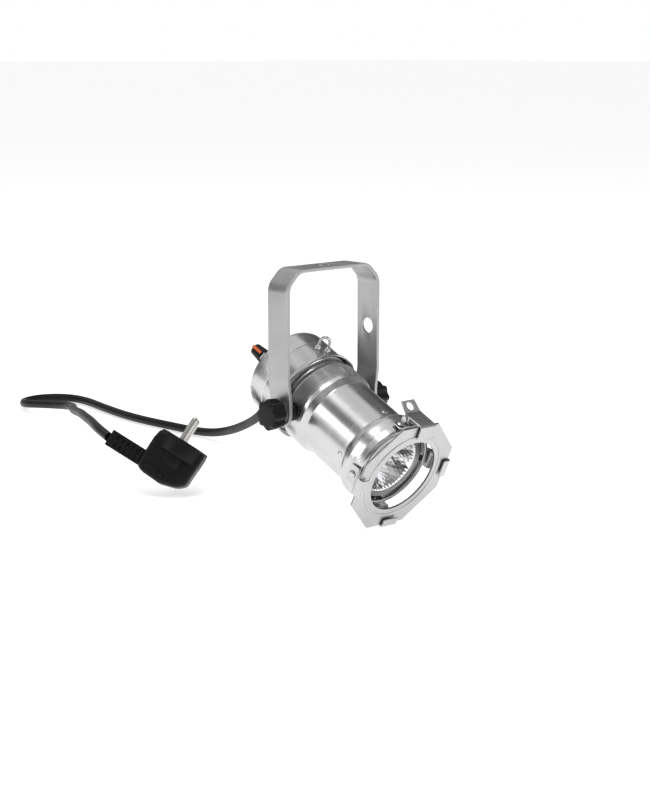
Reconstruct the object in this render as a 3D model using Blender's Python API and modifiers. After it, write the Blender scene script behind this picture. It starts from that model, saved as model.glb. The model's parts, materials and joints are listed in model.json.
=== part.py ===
"""A short par can light: a sheet aluminium can on a hanging bracket, with a filter frame, a dimmer on
its rear cap and a mains lead that ends in an angled earthed plug.

Metres, +Z up. The origin is the middle of the bracket's top hole, on its top face. +X runs along the
tilt axis and the beam points towards -Y and down. Pieces of the can are modelled about the tilt axis
in the can's own frame: X across, Y up from the beam axis and Z forward along the beam.
"""

import math

import bmesh
import bpy
import numpy as np
from mathutils import Matrix, Vector

# Driving dimensions -------------------------------------------------------------------------------

GAP = 0.0003                # between pieces that touch

# Hanging bracket, bent from flat bar
BRACKET_WIDTH = 0.086       # outside, above the joggles
BAR_WIDTH = 0.020
BAR_THICKNESS = 0.0025
CORNER_CUT = 0.011          # leg of the 45 degree corner
BEND_RADIUS = 0.003
PIVOT_DROP = 0.098          # tilt axis below the top face
JOGGLE = 0.00185            # step inwards of each leg
JOGGLE_TOP = 0.022          # above the tilt axis
JOGGLE_BOTTOM = 0.009
HANGING_HOLE_RADIUS = 0.0055
LEG_HOLE_DROP = 0.046
TILT = math.radians(25.83)  # of the beam below level

# Can, spun from sheet
SHEET = 0.001
TUBE_RADIUS = 0.0295
COLLAR_RADIUS = 0.032       # where the bracket clamps it
BEAD_RADIUS = 0.0324        # bulge behind the mouth
MOUTH_RADIUS = 0.0276
MOUTH_POSITION = 0.0760
TAIL_RADIUS = 0.0316        # swaged ring that centres the cap
TAIL_END = -0.0210

# Rear cap
CAP_CLEARANCE = 0.0004
CAP_LIP = 0.0017            # flare of its open edge
CAP_FRONT = -0.0103
CAP_BACK = -0.046
CAP_EDGE_RADIUS = 0.0045

# Clamps of the tilt axis
BOLT_RADIUS = 0.003
BOLT_HEAD_RADIUS = 0.005
BOLT_HEAD_HEIGHT = 0.003
HOLE_CLEARANCE = 0.0003
SPACER_RADIUS = 0.007
WASHER_RADIUS = 0.008
WASHER_THICKNESS = 0.0015
KNOB_RADIUS = 0.011
KNOB_LENGTH = 0.011
KNOB_LOBES = 8
KNOB_LOBE_DEPTH = 0.0009

# Filter frame and what holds it
FRAME_FLATS = 0.0802
FRAME_FRONT = 0.0858
FRAME_THICKNESS = 0.0016
FRAME_OPENING = 0.0274
FRAME_BEAD = 0.032
FRAME_BEAD_HALF = 0.0009
STRIP = 0.001               # thickness of clips and latch
CLIP_WIDTH = 0.0126
CLIP_LIP = 0.0052
CLIP_FOOT = 0.0675
CLIP_RIVET = 0.0716
CLIP_SLOT = 0.0012          # play in front of the frame
RIVET_RADIUS = 0.0015
RIVET_HEAD_RADIUS = 0.0026
RIVET_HEAD_HEIGHT = 0.0012
RIVET_INSIDE = 0.0021       # its pressed head inside the can, clear of the curved wall
LATCH_X = 0.0046
LATCH_WIDTH = 0.014
LATCH_PIN = 0.0722
LATCH_PIN_RADIUS = 0.0012
LATCH_HOOK = 0.009
EAR_FOOT = 0.0036            # half the ears of its base where their taper ends
EAR_DROP = 0.0034            # that far below the pin
EAR_REACH = 0.006            # past every edge of them
LATCH_TAB = 0.0092
LATCH_TAB_ANGLE = math.radians(150)
LATCH_TAB_HOLE = 0.003

# Lamp
LAMP_RADIUS = 0.0252
LAMP_FRONT = 0.074
BEZEL_DEPTH = 0.0025
REFLECTOR_RADIUS = LAMP_RADIUS - 0.0043
REFLECTOR_NECK = 0.0064
REFLECTOR_BACK = 0.0514
REFLECTOR_WALL = 0.0008
EMITTER_RADIUS = 0.005
LED_BOARD_RADIUS = 0.013
LED_BOARD_THICKNESS = 0.0016
SINK_RADIUS = 0.0226
SINK_BACK = 0.022
SINK_FINS = 16
HOUSING_WALL = 0.0013
HOUSING_BACK = 0.046
RETAINING_RING = 0.0675

# Driver, dimmer and lead entry inside and on the rear cap
DRIVER_BOARD = (0.040, 0.030, 0.0016)
DRIVER_BOARD_POSITION = -0.024
PILLAR_RADIUS = 0.0025
DIMMER_PLACE = (-0.0215, 0.0115)
DIMMER_BUSH_RADIUS = 0.0034
DIMMER_SHAFT_RADIUS = 0.0015
DIMMER_BODY_RADIUS = 0.006
DIMMER_KNOB_RADIUS = 0.00525
DIMMER_KNOB_TIP = 0.00425
DIMMER_KNOB_LENGTH = 0.011
DIMMER_NUT_THICKNESS = 0.0017
GLAND_PLACE = (0.0165, -0.0150)
GLAND_RADIUS = 0.0046
GLAND_FLANGE_RADIUS = 0.0062
RELIEF_END = -0.0580

# Safety eye
EYE_WIRE = 0.0009
EYE_HALF_WIDTH = 0.0034
EYE_HEIGHT = 0.0118         # above the cap
EYE_POSITION = -0.019
EYE_TURN = math.radians(45)

# Mains lead and plug
CORD_RADIUS = 0.0035
CORD_STEP = 0.0175
ROUTE_PIVOT_DROP = 0.098    # the tilt axis that the lead and plug are laid out for
ROUTE_SHIFT = Vector((0, 0, ROUTE_PIVOT_DROP - PIVOT_DROP))
PLUG_ORIGIN = Vector((-0.0418, 0.1127, -0.1509)) + ROUTE_SHIFT
PLUG_ALONG = Vector((0.521, -0.686, -0.508)).normalized()
PLUG_PINS = Vector((0.555, -0.179, 0.812))
PLUG_FACE_RADIUS = 0.0192
PLUG_FACE = 0.0151
PLUG_FACE_DEPTH = 0.0125
PLUG_GRIP_HALF = 0.013
PLUG_CENTRE = -0.0029
GRIP_BACK = -0.0235
RELIEF_LAST = -0.0520
RELIEF_HALF_DEPTH = 0.0062
PIN_RADIUS = 0.0024
PIN_LENGTH = 0.019
PIN_SPACING = 0.019

# The lead's route, from the gland down to the surface, round one loop and back to the plug
CORD_DROP = [
    (0.0165, 0.0594, -0.0861), (0.0170, 0.0690, -0.0816), (0.0215, 0.0810, -0.0793),
    (0.0310, 0.0930, -0.0825), (0.0420, 0.1045, -0.0935), (0.0505, 0.1155, -0.1090),
    (0.0570, 0.1280, -0.1240), (0.0640, 0.1450, -0.1355), (0.0725, 0.1660, -0.1450),
    (0.0815, 0.1900, -0.1540), (0.0890, 0.2150, -0.1620), (0.0930, 0.2420, -0.1680),
]
CORD_RUN = [
    (0.0930, 0.2420, -0.1680), (0.0935, 0.2680, -0.1700), (0.0915, 0.2950, -0.1700),
    (0.0900, 0.3250, -0.1700), (0.0910, 0.3550, -0.1700), (0.0950, 0.3850, -0.1700),
    (0.1000, 0.4120, -0.1700), (0.1035, 0.4320, -0.1700), (0.1030, 0.4500, -0.1700),
    (0.0950, 0.4660, -0.1700), (0.0790, 0.4740, -0.1700), (0.0620, 0.4690, -0.1695),
    (0.0510, 0.4560, -0.1680), (0.0455, 0.4380, -0.1655), (0.0434, 0.3775, -0.1582),
    (0.0164, 0.3283, -0.1507), (-0.0085, 0.2838, -0.1437), (-0.0311, 0.2439, -0.1379),
    (-0.0509, 0.2079, -0.1336), (-0.0682, 0.1739, -0.1317), (-0.0754, 0.1508, -0.1337),
]

# Derived places -----------------------------------------------------------------------------------

BEAM = (0, -math.cos(TILT), -math.sin(TILT))
LEG_OUTER = BRACKET_WIDTH / 2 - JOGGLE
LEG_INNER = LEG_OUTER - BAR_THICKNESS
CAP_RADIUS = TAIL_RADIUS + CAP_CLEARANCE + SHEET
FRAME_BACK = FRAME_FRONT - FRAME_THICKNESS
FRAME_HALF = FRAME_FLATS / 2
HOLE_RADIUS = BOLT_RADIUS + HOLE_CLEARANCE
SEAT = BEAD_RADIUS          # radius that clips and latch sit on
LATCH_UNDER = FRAME_HALF + GAP
LATCH_PIN_HEIGHT = LATCH_UNDER - 0.0024
SINK_FRONT = REFLECTOR_BACK - 0.0005 - LED_BOARD_THICKNESS - GAP

bpy.context.scene.unit_settings.system = "METRIC"
for old in list(bpy.data.objects):
    bpy.data.objects.remove(old, do_unlink=True)


def new_collection(name):
    collection = bpy.data.collections.new(name)
    bpy.context.scene.collection.children.link(collection)
    return collection


PARTS = new_collection("par_can_light")
CUTTERS = new_collection("cutters")


def new_material(name, colour, roughness, metallic=0.0):
    material = bpy.data.materials.new(name)
    material.use_nodes = True
    shader = material.node_tree.nodes["Principled BSDF"]
    shader.inputs["Base Color"].default_value = (*colour, 1.0)
    shader.inputs["Roughness"].default_value = roughness
    shader.inputs["Metallic"].default_value = metallic
    material.diffuse_color = (*colour, 1.0)
    return material


POLISHED = new_material("polished_aluminium", (0.80, 0.80, 0.80), 0.25, 1.0)
BRUSHED = new_material("brushed_aluminium", (0.66, 0.66, 0.66), 0.42, 1.0)
STEEL = new_material("plated_steel", (0.70, 0.70, 0.71), 0.30, 1.0)
CAST = new_material("heat_sink_aluminium", (0.55, 0.55, 0.57), 0.50, 1.0)
MIRROR = new_material("reflector_mirror", (0.92, 0.92, 0.92), 0.08, 1.0)
PHOSPHOR = new_material("led_phosphor", (0.90, 0.75, 0.30), 0.40)
BLACK = new_material("black_plastic", (0.02, 0.02, 0.02), 0.45)
RUBBER = new_material("black_pvc", (0.015, 0.015, 0.015), 0.50)
BOARD = new_material("green_board", (0.05, 0.25, 0.10), 0.50)
BRASS = new_material("nickel_brass", (0.78, 0.76, 0.70), 0.22, 1.0)


# Modelling helpers --------------------------------------------------------------------------------

tilt_axis = bpy.data.objects.new("tilt_axis", None)
tilt_axis.location = (0, 0, -PIVOT_DROP)
tilt_axis.rotation_euler = (math.radians(90) + TILT, 0, 0)
PARTS.objects.link(tilt_axis)


def axes(origin, z_axis, x_axis):
    """The place of a piece whose own Z and X run along the given directions."""
    z = Vector(z_axis).normalized()
    y = z.cross(Vector(x_axis)).normalized()
    x = y.cross(z)
    turn = Matrix((x, y, z)).transposed()
    return Matrix.Translation(Vector(origin)) @ turn.to_4x4()


def add(obj, material, place=None, parent=tilt_axis):
    PARTS.objects.link(obj)
    obj.data.materials.clear()
    obj.data.materials.append(material)
    obj.parent = parent
    obj.matrix_basis = place or Matrix.Identity(4)
    if obj.type == "MESH":
        obj.data.shade_smooth()
        obj.data.set_sharp_from_angle(angle=math.radians(35))
    return obj


def hidden(obj, place=None, parent=tilt_axis):
    """Keeps a cutter out of the model."""
    CUTTERS.objects.link(obj)
    obj.parent = parent
    obj.matrix_basis = place or Matrix.Identity(4)
    obj.hide_render = True
    obj.display_type = "WIRE"
    return obj


def combine(obj, tool, operation):
    modifier = obj.modifiers.new(operation.lower(), "BOOLEAN")
    modifier.object = tool
    modifier.operation = operation
    modifier.solver = "EXACT"


def turned(name, profile, segments=40, closed=True):
    """A profile of (radius, position) points spun about Z, running down its outer side."""
    mesh = bpy.data.meshes.new(name)
    points = [(radius, 0, position) for radius, position in profile]
    edges = [(i, i + 1) for i in range(len(points) - 1)]
    if closed:
        edges.append((len(points) - 1, 0))
    mesh.from_pydata(points, edges, [])
    obj = bpy.data.objects.new(name, mesh)
    screw = obj.modifiers.new("spin", "SCREW")
    screw.axis = "Z"
    screw.angle = math.radians(360)
    screw.steps = segments
    screw.render_steps = segments
    screw.use_merge_vertices = True
    screw.merge_threshold = 0.00001
    screw.use_smooth_shade = True
    return obj


def sheet_metal(obj, thickness):
    solidify = obj.modifiers.new("wall", "SOLIDIFY")
    solidify.thickness = thickness
    solidify.offset = -1
    solidify.use_even_offset = True


def ring(name, inner, outer, low, high, segments=32):
    return turned(name, [(outer, high), (outer, low), (inner, low), (inner, high)], segments)


def rod(name, radius, low, high, segments=24):
    return turned(name, [(0, high), (radius, high), (radius, low), (0, low)], segments, closed=False)


def outline(name, loops, low, high):
    """Flat outlines, the first one filled and the others its holes, given a thickness along Z."""
    curve = bpy.data.curves.new(name, "CURVE")
    curve.dimensions = "2D"
    curve.fill_mode = "BOTH"
    curve.extrude = (high - low) / 2
    for loop in loops:
        spline = curve.splines.new("POLY")
        spline.points.add(len(loop) - 1)
        for point, (x, y) in zip(spline.points, loop):
            point.co = (x, y, 0, 1)
        spline.use_cyclic_u = True
    guide = bpy.data.objects.new(name, curve)
    bpy.context.scene.collection.objects.link(guide)
    depsgraph = bpy.context.evaluated_depsgraph_get()
    mesh = bpy.data.meshes.new_from_object(guide.evaluated_get(depsgraph))
    bpy.data.objects.remove(guide, do_unlink=True)
    bm = bmesh.new()
    bm.from_mesh(mesh)
    bmesh.ops.remove_doubles(bm, verts=bm.verts, dist=0.00001)
    bmesh.ops.translate(bm, verts=bm.verts, vec=(0, 0, (low + high) / 2))
    bmesh.ops.recalc_face_normals(bm, faces=bm.faces)
    bm.to_mesh(mesh)
    bm.free()
    mesh.name = name
    return bpy.data.objects.new(name, mesh)


def circle(radius, centre=(0, 0), steps=48, start=0.0, sweep=2 * math.pi):
    """Points round a circle, or along an arc of it with both its ends."""
    whole = abs(sweep) > 6.28
    count = steps if whole else steps + 1
    angles = [start + sweep * i / steps for i in range(count)]
    return [(centre[0] + radius * math.cos(a), centre[1] + radius * math.sin(a)) for a in angles]


def rounded(path, radius, steps=3):
    """An open path with its bends rounded."""
    corners = [Vector(point) for point in path]
    result = [corners[0]]
    for before, corner, after in zip(corners, corners[1:], corners[2:]):
        inward = (before - corner).normalized()
        outward = (after - corner).normalized()
        half = inward.angle(outward) / 2
        reach = radius / math.tan(half)
        centre = corner + (inward + outward).normalized() * radius / math.sin(half)
        start = corner + inward * reach - centre
        end = corner + outward * reach - centre
        for i in range(steps + 1):
            spoke = start.lerp(end, i / steps).normalized() * radius
            result.append(centre + spoke)
    result.append(corners[-1])
    return result


def strip(path, thickness):
    """The edge-on outline of a bent strip that lies to the left of its path."""
    points = [Vector(point) for point in path]
    runs = [(b - a).normalized() for a, b in zip(points, points[1:])]
    normals = [Vector((-run.y, run.x)) for run in runs]
    offset = [points[0] + normals[0] * thickness]
    for point, left, right in zip(points[1:-1], normals, normals[1:]):
        middle = (left + right).normalized()
        offset.append(point + middle * thickness / middle.dot(left))
    offset.append(points[-1] + normals[-1] * thickness)
    return [tuple(point) for point in points + offset[::-1]]


def box(name, low, high):
    """A block between two corners, in its parent's frame."""
    bm = bmesh.new()
    bmesh.ops.create_cube(bm, size=1)
    size = Vector(high) - Vector(low)
    centre = (Vector(high) + Vector(low)) / 2
    bmesh.ops.scale(bm, verts=bm.verts, vec=size)
    bmesh.ops.translate(bm, verts=bm.verts, vec=centre)
    mesh = bpy.data.meshes.new(name)
    bm.to_mesh(mesh)
    bm.free()
    return bpy.data.objects.new(name, mesh)


def drill(obj, radius, place, low, high, parent=tilt_axis, segments=24):
    """Cuts a round hole along a place's Z."""
    cutter = hidden(rod(f"{obj.name}_hole", radius, low, high, segments), place, parent)
    combine(obj, cutter, "DIFFERENCE")


def wire(name, points, radius, resolution=2):
    curve = bpy.data.curves.new(name, "CURVE")
    curve.dimensions = "3D"
    curve.bevel_depth = radius
    curve.bevel_resolution = resolution
    curve.use_fill_caps = True
    spline = curve.splines.new("POLY")
    spline.points.add(len(points) - 1)
    for point, place in zip(spline.points, points):
        point.co = (*place, 1)
    return bpy.data.objects.new(name, curve)


def radial(angle, position=0.0, across=0.0):
    """A place on the can whose Z points outwards at an angle round the beam, and X forward."""
    outward = Vector((math.cos(angle), math.sin(angle), 0))
    sideways = Vector((-math.sin(angle), math.cos(angle), 0))
    return axes(sideways * across + Vector((0, 0, position)), outward, (0, 0, 1))


def side(sign):
    """A place on the tilt axis whose Z points out of the can on one side."""
    return axes((0, 0, 0), (sign, 0, 0), (0, 0, 1))


def rivet(name, place, seat, inner, material=STEEL):
    """A rivet with a domed head above the seat and a pressed head below the inner face."""
    top = seat + GAP
    low = inner - GAP
    profile = [
        (0, top + RIVET_HEAD_HEIGHT),
        (RIVET_HEAD_RADIUS * 0.6, top + RIVET_HEAD_HEIGHT * 0.85),
        (RIVET_HEAD_RADIUS, top + RIVET_HEAD_HEIGHT * 0.2),
        (RIVET_HEAD_RADIUS, top),
        (RIVET_RADIUS, top),
        (RIVET_RADIUS, low),
        (RIVET_HEAD_RADIUS * 0.85, low),
        (RIVET_HEAD_RADIUS * 0.85, low - 0.0007),
        (0, low - 0.0007),
    ]
    return add(turned(name, profile, 16, closed=False), material, place)


# Bracket ------------------------------------------------------------------------------------------


def make_bracket():
    half = BRACKET_WIDTH / 2
    foot = -PIVOT_DROP - BAR_WIDTH / 2
    right = [
        (half - CORNER_CUT, 0),
        (half, -CORNER_CUT),
        (half, -PIVOT_DROP + JOGGLE_TOP),
        (LEG_OUTER, -PIVOT_DROP + JOGGLE_BOTTOM),
        (LEG_OUTER, foot),
    ]
    left = [(-x, z) for x, z in right[::-1]]
    shape = strip(rounded((right[::-1] + left[::-1]), BEND_RADIUS), BAR_THICKNESS)
    obj = outline("bracket", [shape], -BAR_WIDTH / 2, BAR_WIDTH / 2)
    upright = axes((0, 0, 0), (0, -1, 0), (1, 0, 0))
    add(obj, BRUSHED, upright, parent=None)
    end = BAR_WIDTH / 2 * 1.002
    reach = BAR_WIDTH * 0.7
    around = circle(end, (-PIVOT_DROP, 0), 16, math.radians(90), math.radians(180))
    around = [(-PIVOT_DROP, reach)] + around + [(-PIVOT_DROP, -reach)]
    around += [(foot - reach / 2, -reach), (foot - reach / 2, reach)]
    trim = outline("leg_end_trim", [around], -half, half)
    hidden(trim, axes((0, 0, 0), (1, 0, 0), (0, 0, 1)), parent=None)
    combine(obj, trim, "DIFFERENCE")
    down = axes((0, 0, 0), (0, 0, 1), (1, 0, 0))
    drill(obj, HANGING_HOLE_RADIUS, down, -BAR_THICKNESS * 2, BAR_THICKNESS, None, 32)
    leg_hole = axes((0, 0, -LEG_HOLE_DROP), (1, 0, 0), (0, 1, 0))
    drill(obj, HANGING_HOLE_RADIUS, leg_hole, half / 2, half * 1.1, None, 32)
    pivot = axes((0, 0, -PIVOT_DROP), (1, 0, 0), (0, 1, 0))
    drill(obj, HOLE_RADIUS, pivot, -half * 1.1, half * 1.1, None)


# Can and rear cap ---------------------------------------------------------------------------------


def make_can():
    profile = [
        (MOUTH_RADIUS, MOUTH_POSITION - 0.0004),
        (MOUTH_RADIUS + 0.0018, MOUTH_POSITION),
        (MOUTH_RADIUS + 0.0030, MOUTH_POSITION - 0.0008),
        (BEAD_RADIUS - 0.0010, MOUTH_POSITION - 0.0030),
        (BEAD_RADIUS - 0.0003, MOUTH_POSITION - 0.0070),
        (BEAD_RADIUS - 0.0003, MOUTH_POSITION - 0.0100),
        (BEAD_RADIUS, MOUTH_POSITION - 0.0135),
        (BEAD_RADIUS - 0.0002, MOUTH_POSITION - 0.0160),
        (BEAD_RADIUS - 0.0014, MOUTH_POSITION - 0.0186),
        (TUBE_RADIUS, MOUTH_POSITION - 0.0196),
        (TUBE_RADIUS, MOUTH_POSITION - 0.0215),
        (TUBE_RADIUS, 0.0350),
        (TUBE_RADIUS, 0.0165),
        (COLLAR_RADIUS - 0.0007, 0.0125),
        (COLLAR_RADIUS, 0.0090),
        (COLLAR_RADIUS, -0.0040),
        (COLLAR_RADIUS - 0.0007, -0.0062),
        (TAIL_RADIUS - 0.0016, -0.0090),
        (TAIL_RADIUS - 0.0016, -0.0110),
        (TAIL_RADIUS, -0.0130),
        (TAIL_RADIUS, TAIL_END),
    ]
    obj = turned("can_body", profile, closed=False)
    sheet_metal(obj, SHEET)
    add(obj, POLISHED)
    drill(obj, HOLE_RADIUS, side(1), -COLLAR_RADIUS * 1.2, COLLAR_RADIUS * 1.2)
    for angle, across in CLIPS.values():
        place = radial(angle, CLIP_RIVET, across)
        drill(obj, RIVET_RADIUS + GAP, place, BEAD_RADIUS * 0.8, BEAD_RADIUS * 1.2, segments=16)
    for place in LATCH_RIVETS.values():
        drill(obj, RIVET_RADIUS + GAP, place, BEAD_RADIUS * 0.8, BEAD_RADIUS * 1.2, segments=16)
    for angle in CAP_SCREWS.values():
        place = radial(angle, CAP_SCREW_POSITION)
        drill(obj, RIVET_RADIUS + GAP, place, TAIL_RADIUS * 0.8, TAIL_RADIUS * 1.2, segments=16)


def make_rear_cap():
    edge = CAP_EDGE_RADIUS
    corner = circle(edge, (CAP_RADIUS - edge, CAP_BACK + edge), 4, 0, math.radians(-90))
    profile = [
        (CAP_RADIUS + CAP_LIP, CAP_FRONT),
        (CAP_RADIUS + CAP_LIP * 0.9, CAP_FRONT - 0.0015),
        (CAP_RADIUS, CAP_FRONT - 0.0037),
        (CAP_RADIUS, (CAP_FRONT + CAP_BACK) / 2),
        *corner,
        (0, CAP_BACK),
    ]
    obj = turned("rear_cap", profile, closed=False)
    sheet_metal(obj, SHEET)
    add(obj, POLISHED)
    around = 2 * SHEET
    dimmer = Matrix.Translation((*DIMMER_PLACE, CAP_BACK))
    drill(obj, DIMMER_BUSH_RADIUS + GAP, dimmer, -around, around)
    gland = Matrix.Translation((*GLAND_PLACE, CAP_BACK))
    drill(obj, GLAND_RADIUS + GAP, gland, -around, around)
    for x, y in PILLARS:
        place = Matrix.Translation((x, y, CAP_BACK))
        drill(obj, RIVET_RADIUS + GAP, place, -around, around, segments=16)
    for angle in CAP_SCREWS.values():
        place = radial(angle, CAP_SCREW_POSITION)
        drill(obj, RIVET_RADIUS + GAP, place, CAP_RADIUS * 0.8, CAP_RADIUS * 1.2, segments=16)
    for sign in (-1, 1):
        drill(obj, EYE_WIRE + GAP, eye_leg(sign), CAP_RADIUS * 0.8, CAP_RADIUS * 1.2, segments=12)


def make_cap_screws():
    for name, angle in CAP_SCREWS.items():
        top = CAP_RADIUS + GAP
        profile = [
            (0, top + 0.0016),
            (0.0016, top + 0.0014),
            (0.0028, top + 0.0005),
            (0.0028, top),
            (RIVET_RADIUS, top),
            (RIVET_RADIUS, TAIL_RADIUS - 0.0035),
            (0, TAIL_RADIUS - 0.0035),
        ]
        screw = turned(name, profile, 16, closed=False)
        add(screw, STEEL, radial(angle, CAP_SCREW_POSITION))


def eye_leg(sign):
    """The place of one leg of the safety eye, pointing straight up out of the cap."""
    across = Vector((math.cos(EYE_TURN), 0, -math.sin(EYE_TURN))) * sign * EYE_HALF_WIDTH
    return axes(Vector((0, 0, EYE_POSITION)) + across, (0, 1, 0), (1, 0, 0))


def make_safety_eye():
    low = CAP_RADIUS - SHEET + GAP
    spring = CAP_RADIUS + EYE_HEIGHT - EYE_HALF_WIDTH - EYE_WIRE
    arch = circle(EYE_HALF_WIDTH, (0, spring), 10, 0, math.pi)
    across = Vector((math.cos(EYE_TURN), 0, -math.sin(EYE_TURN)))
    path = [(EYE_HALF_WIDTH, low), *arch, (-EYE_HALF_WIDTH, low)]
    points = [across * x + Vector((0, y, EYE_POSITION)) for x, y in path]
    add(wire("safety_eye", points, EYE_WIRE), STEEL)


# Tilt clamps --------------------------------------------------------------------------------------


def make_clamp(name, sign):
    place = side(sign)
    head_top = math.sqrt((COLLAR_RADIUS - SHEET) ** 2 - BOLT_HEAD_RADIUS**2) - GAP
    washer_low = LEG_OUTER + GAP
    knob_low = washer_low + WASHER_THICKNESS + GAP
    knob_high = knob_low + KNOB_LENGTH
    bolt_end = knob_high - 0.003
    bolt = [
        (0, bolt_end),
        (BOLT_RADIUS, bolt_end),
        (BOLT_RADIUS, head_top),
        (BOLT_HEAD_RADIUS, head_top),
        (BOLT_HEAD_RADIUS, head_top - BOLT_HEAD_HEIGHT),
        (0, head_top - BOLT_HEAD_HEIGHT),
    ]
    add(turned(f"pivot_bolt_{name}", bolt, 20, closed=False), STEEL, place)
    spacer = ring(f"spacer_{name}", HOLE_RADIUS, SPACER_RADIUS, COLLAR_RADIUS + GAP, LEG_INNER - GAP, 24)
    add(spacer, BLACK, place)
    washer_high = washer_low + WASHER_THICKNESS
    washer = ring(f"washer_{name}", HOLE_RADIUS, WASHER_RADIUS, washer_low, washer_high, 24)
    add(washer, STEEL, place)
    lobes = []
    steps = KNOB_LOBES * 6
    for i in range(steps):
        angle = 2 * math.pi * i / steps
        reach = KNOB_RADIUS - KNOB_LOBE_DEPTH * (1 - math.cos(KNOB_LOBES * angle))
        lobes.append((reach * math.cos(angle), reach * math.sin(angle)))
    knob = outline(f"clamp_knob_{name}", [lobes], knob_low, knob_high)
    add(knob, BLACK, place)
    drill(knob, HOLE_RADIUS, place, knob_low - 0.001, bolt_end + GAP, segments=20)


# Filter frame, clips and latch --------------------------------------------------------------------


def make_filter_frame():
    corner = FRAME_HALF / math.cos(math.radians(22.5))
    octagon = circle(corner, steps=8, start=math.radians(22.5))
    obj = outline("filter_frame", [octagon, circle(FRAME_OPENING)], FRAME_BACK, FRAME_FRONT)
    add(obj, POLISHED)
    half = FRAME_BEAD_HALF
    section = circle(half, (FRAME_BEAD, FRAME_FRONT - half * 0.2), 8)
    bead = turned("frame_bead", section[::-1], 48)
    hidden(bead)
    combine(obj, bead, "UNION")


def make_clip(name, angle, across):
    path = [
        (CLIP_FOOT, SEAT + GAP),
        (CLIP_FOOT + 0.0085, SEAT + GAP),
        (FRAME_BACK - 0.0012, FRAME_HALF + GAP),
        (FRAME_FRONT + CLIP_SLOT, FRAME_HALF + GAP),
        (FRAME_FRONT + CLIP_SLOT, FRAME_HALF + GAP - CLIP_LIP),
    ]
    shape = strip(path, STRIP)
    clip = outline(f"clip_{name}", [shape], -CLIP_WIDTH / 2, CLIP_WIDTH / 2)
    # The outline's X runs forward and its Y outwards.
    outward = Vector((math.cos(angle), math.sin(angle), 0))
    sideways = Vector((-math.sin(angle), math.cos(angle), 0))
    place = axes(sideways * across, Vector((0, 0, 1)).cross(outward), (0, 0, 1))
    add(clip, POLISHED, place)
    rivet_place = radial(angle, CLIP_RIVET, across)
    drill(clip, RIVET_RADIUS + GAP, rivet_place, SEAT * 0.9, SEAT * 1.2, segments=16)
    rivet(f"clip_rivet_{name}", rivet_place, SEAT + GAP + STRIP, BEAD_RADIUS - SHEET - RIVET_INSIDE)


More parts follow.
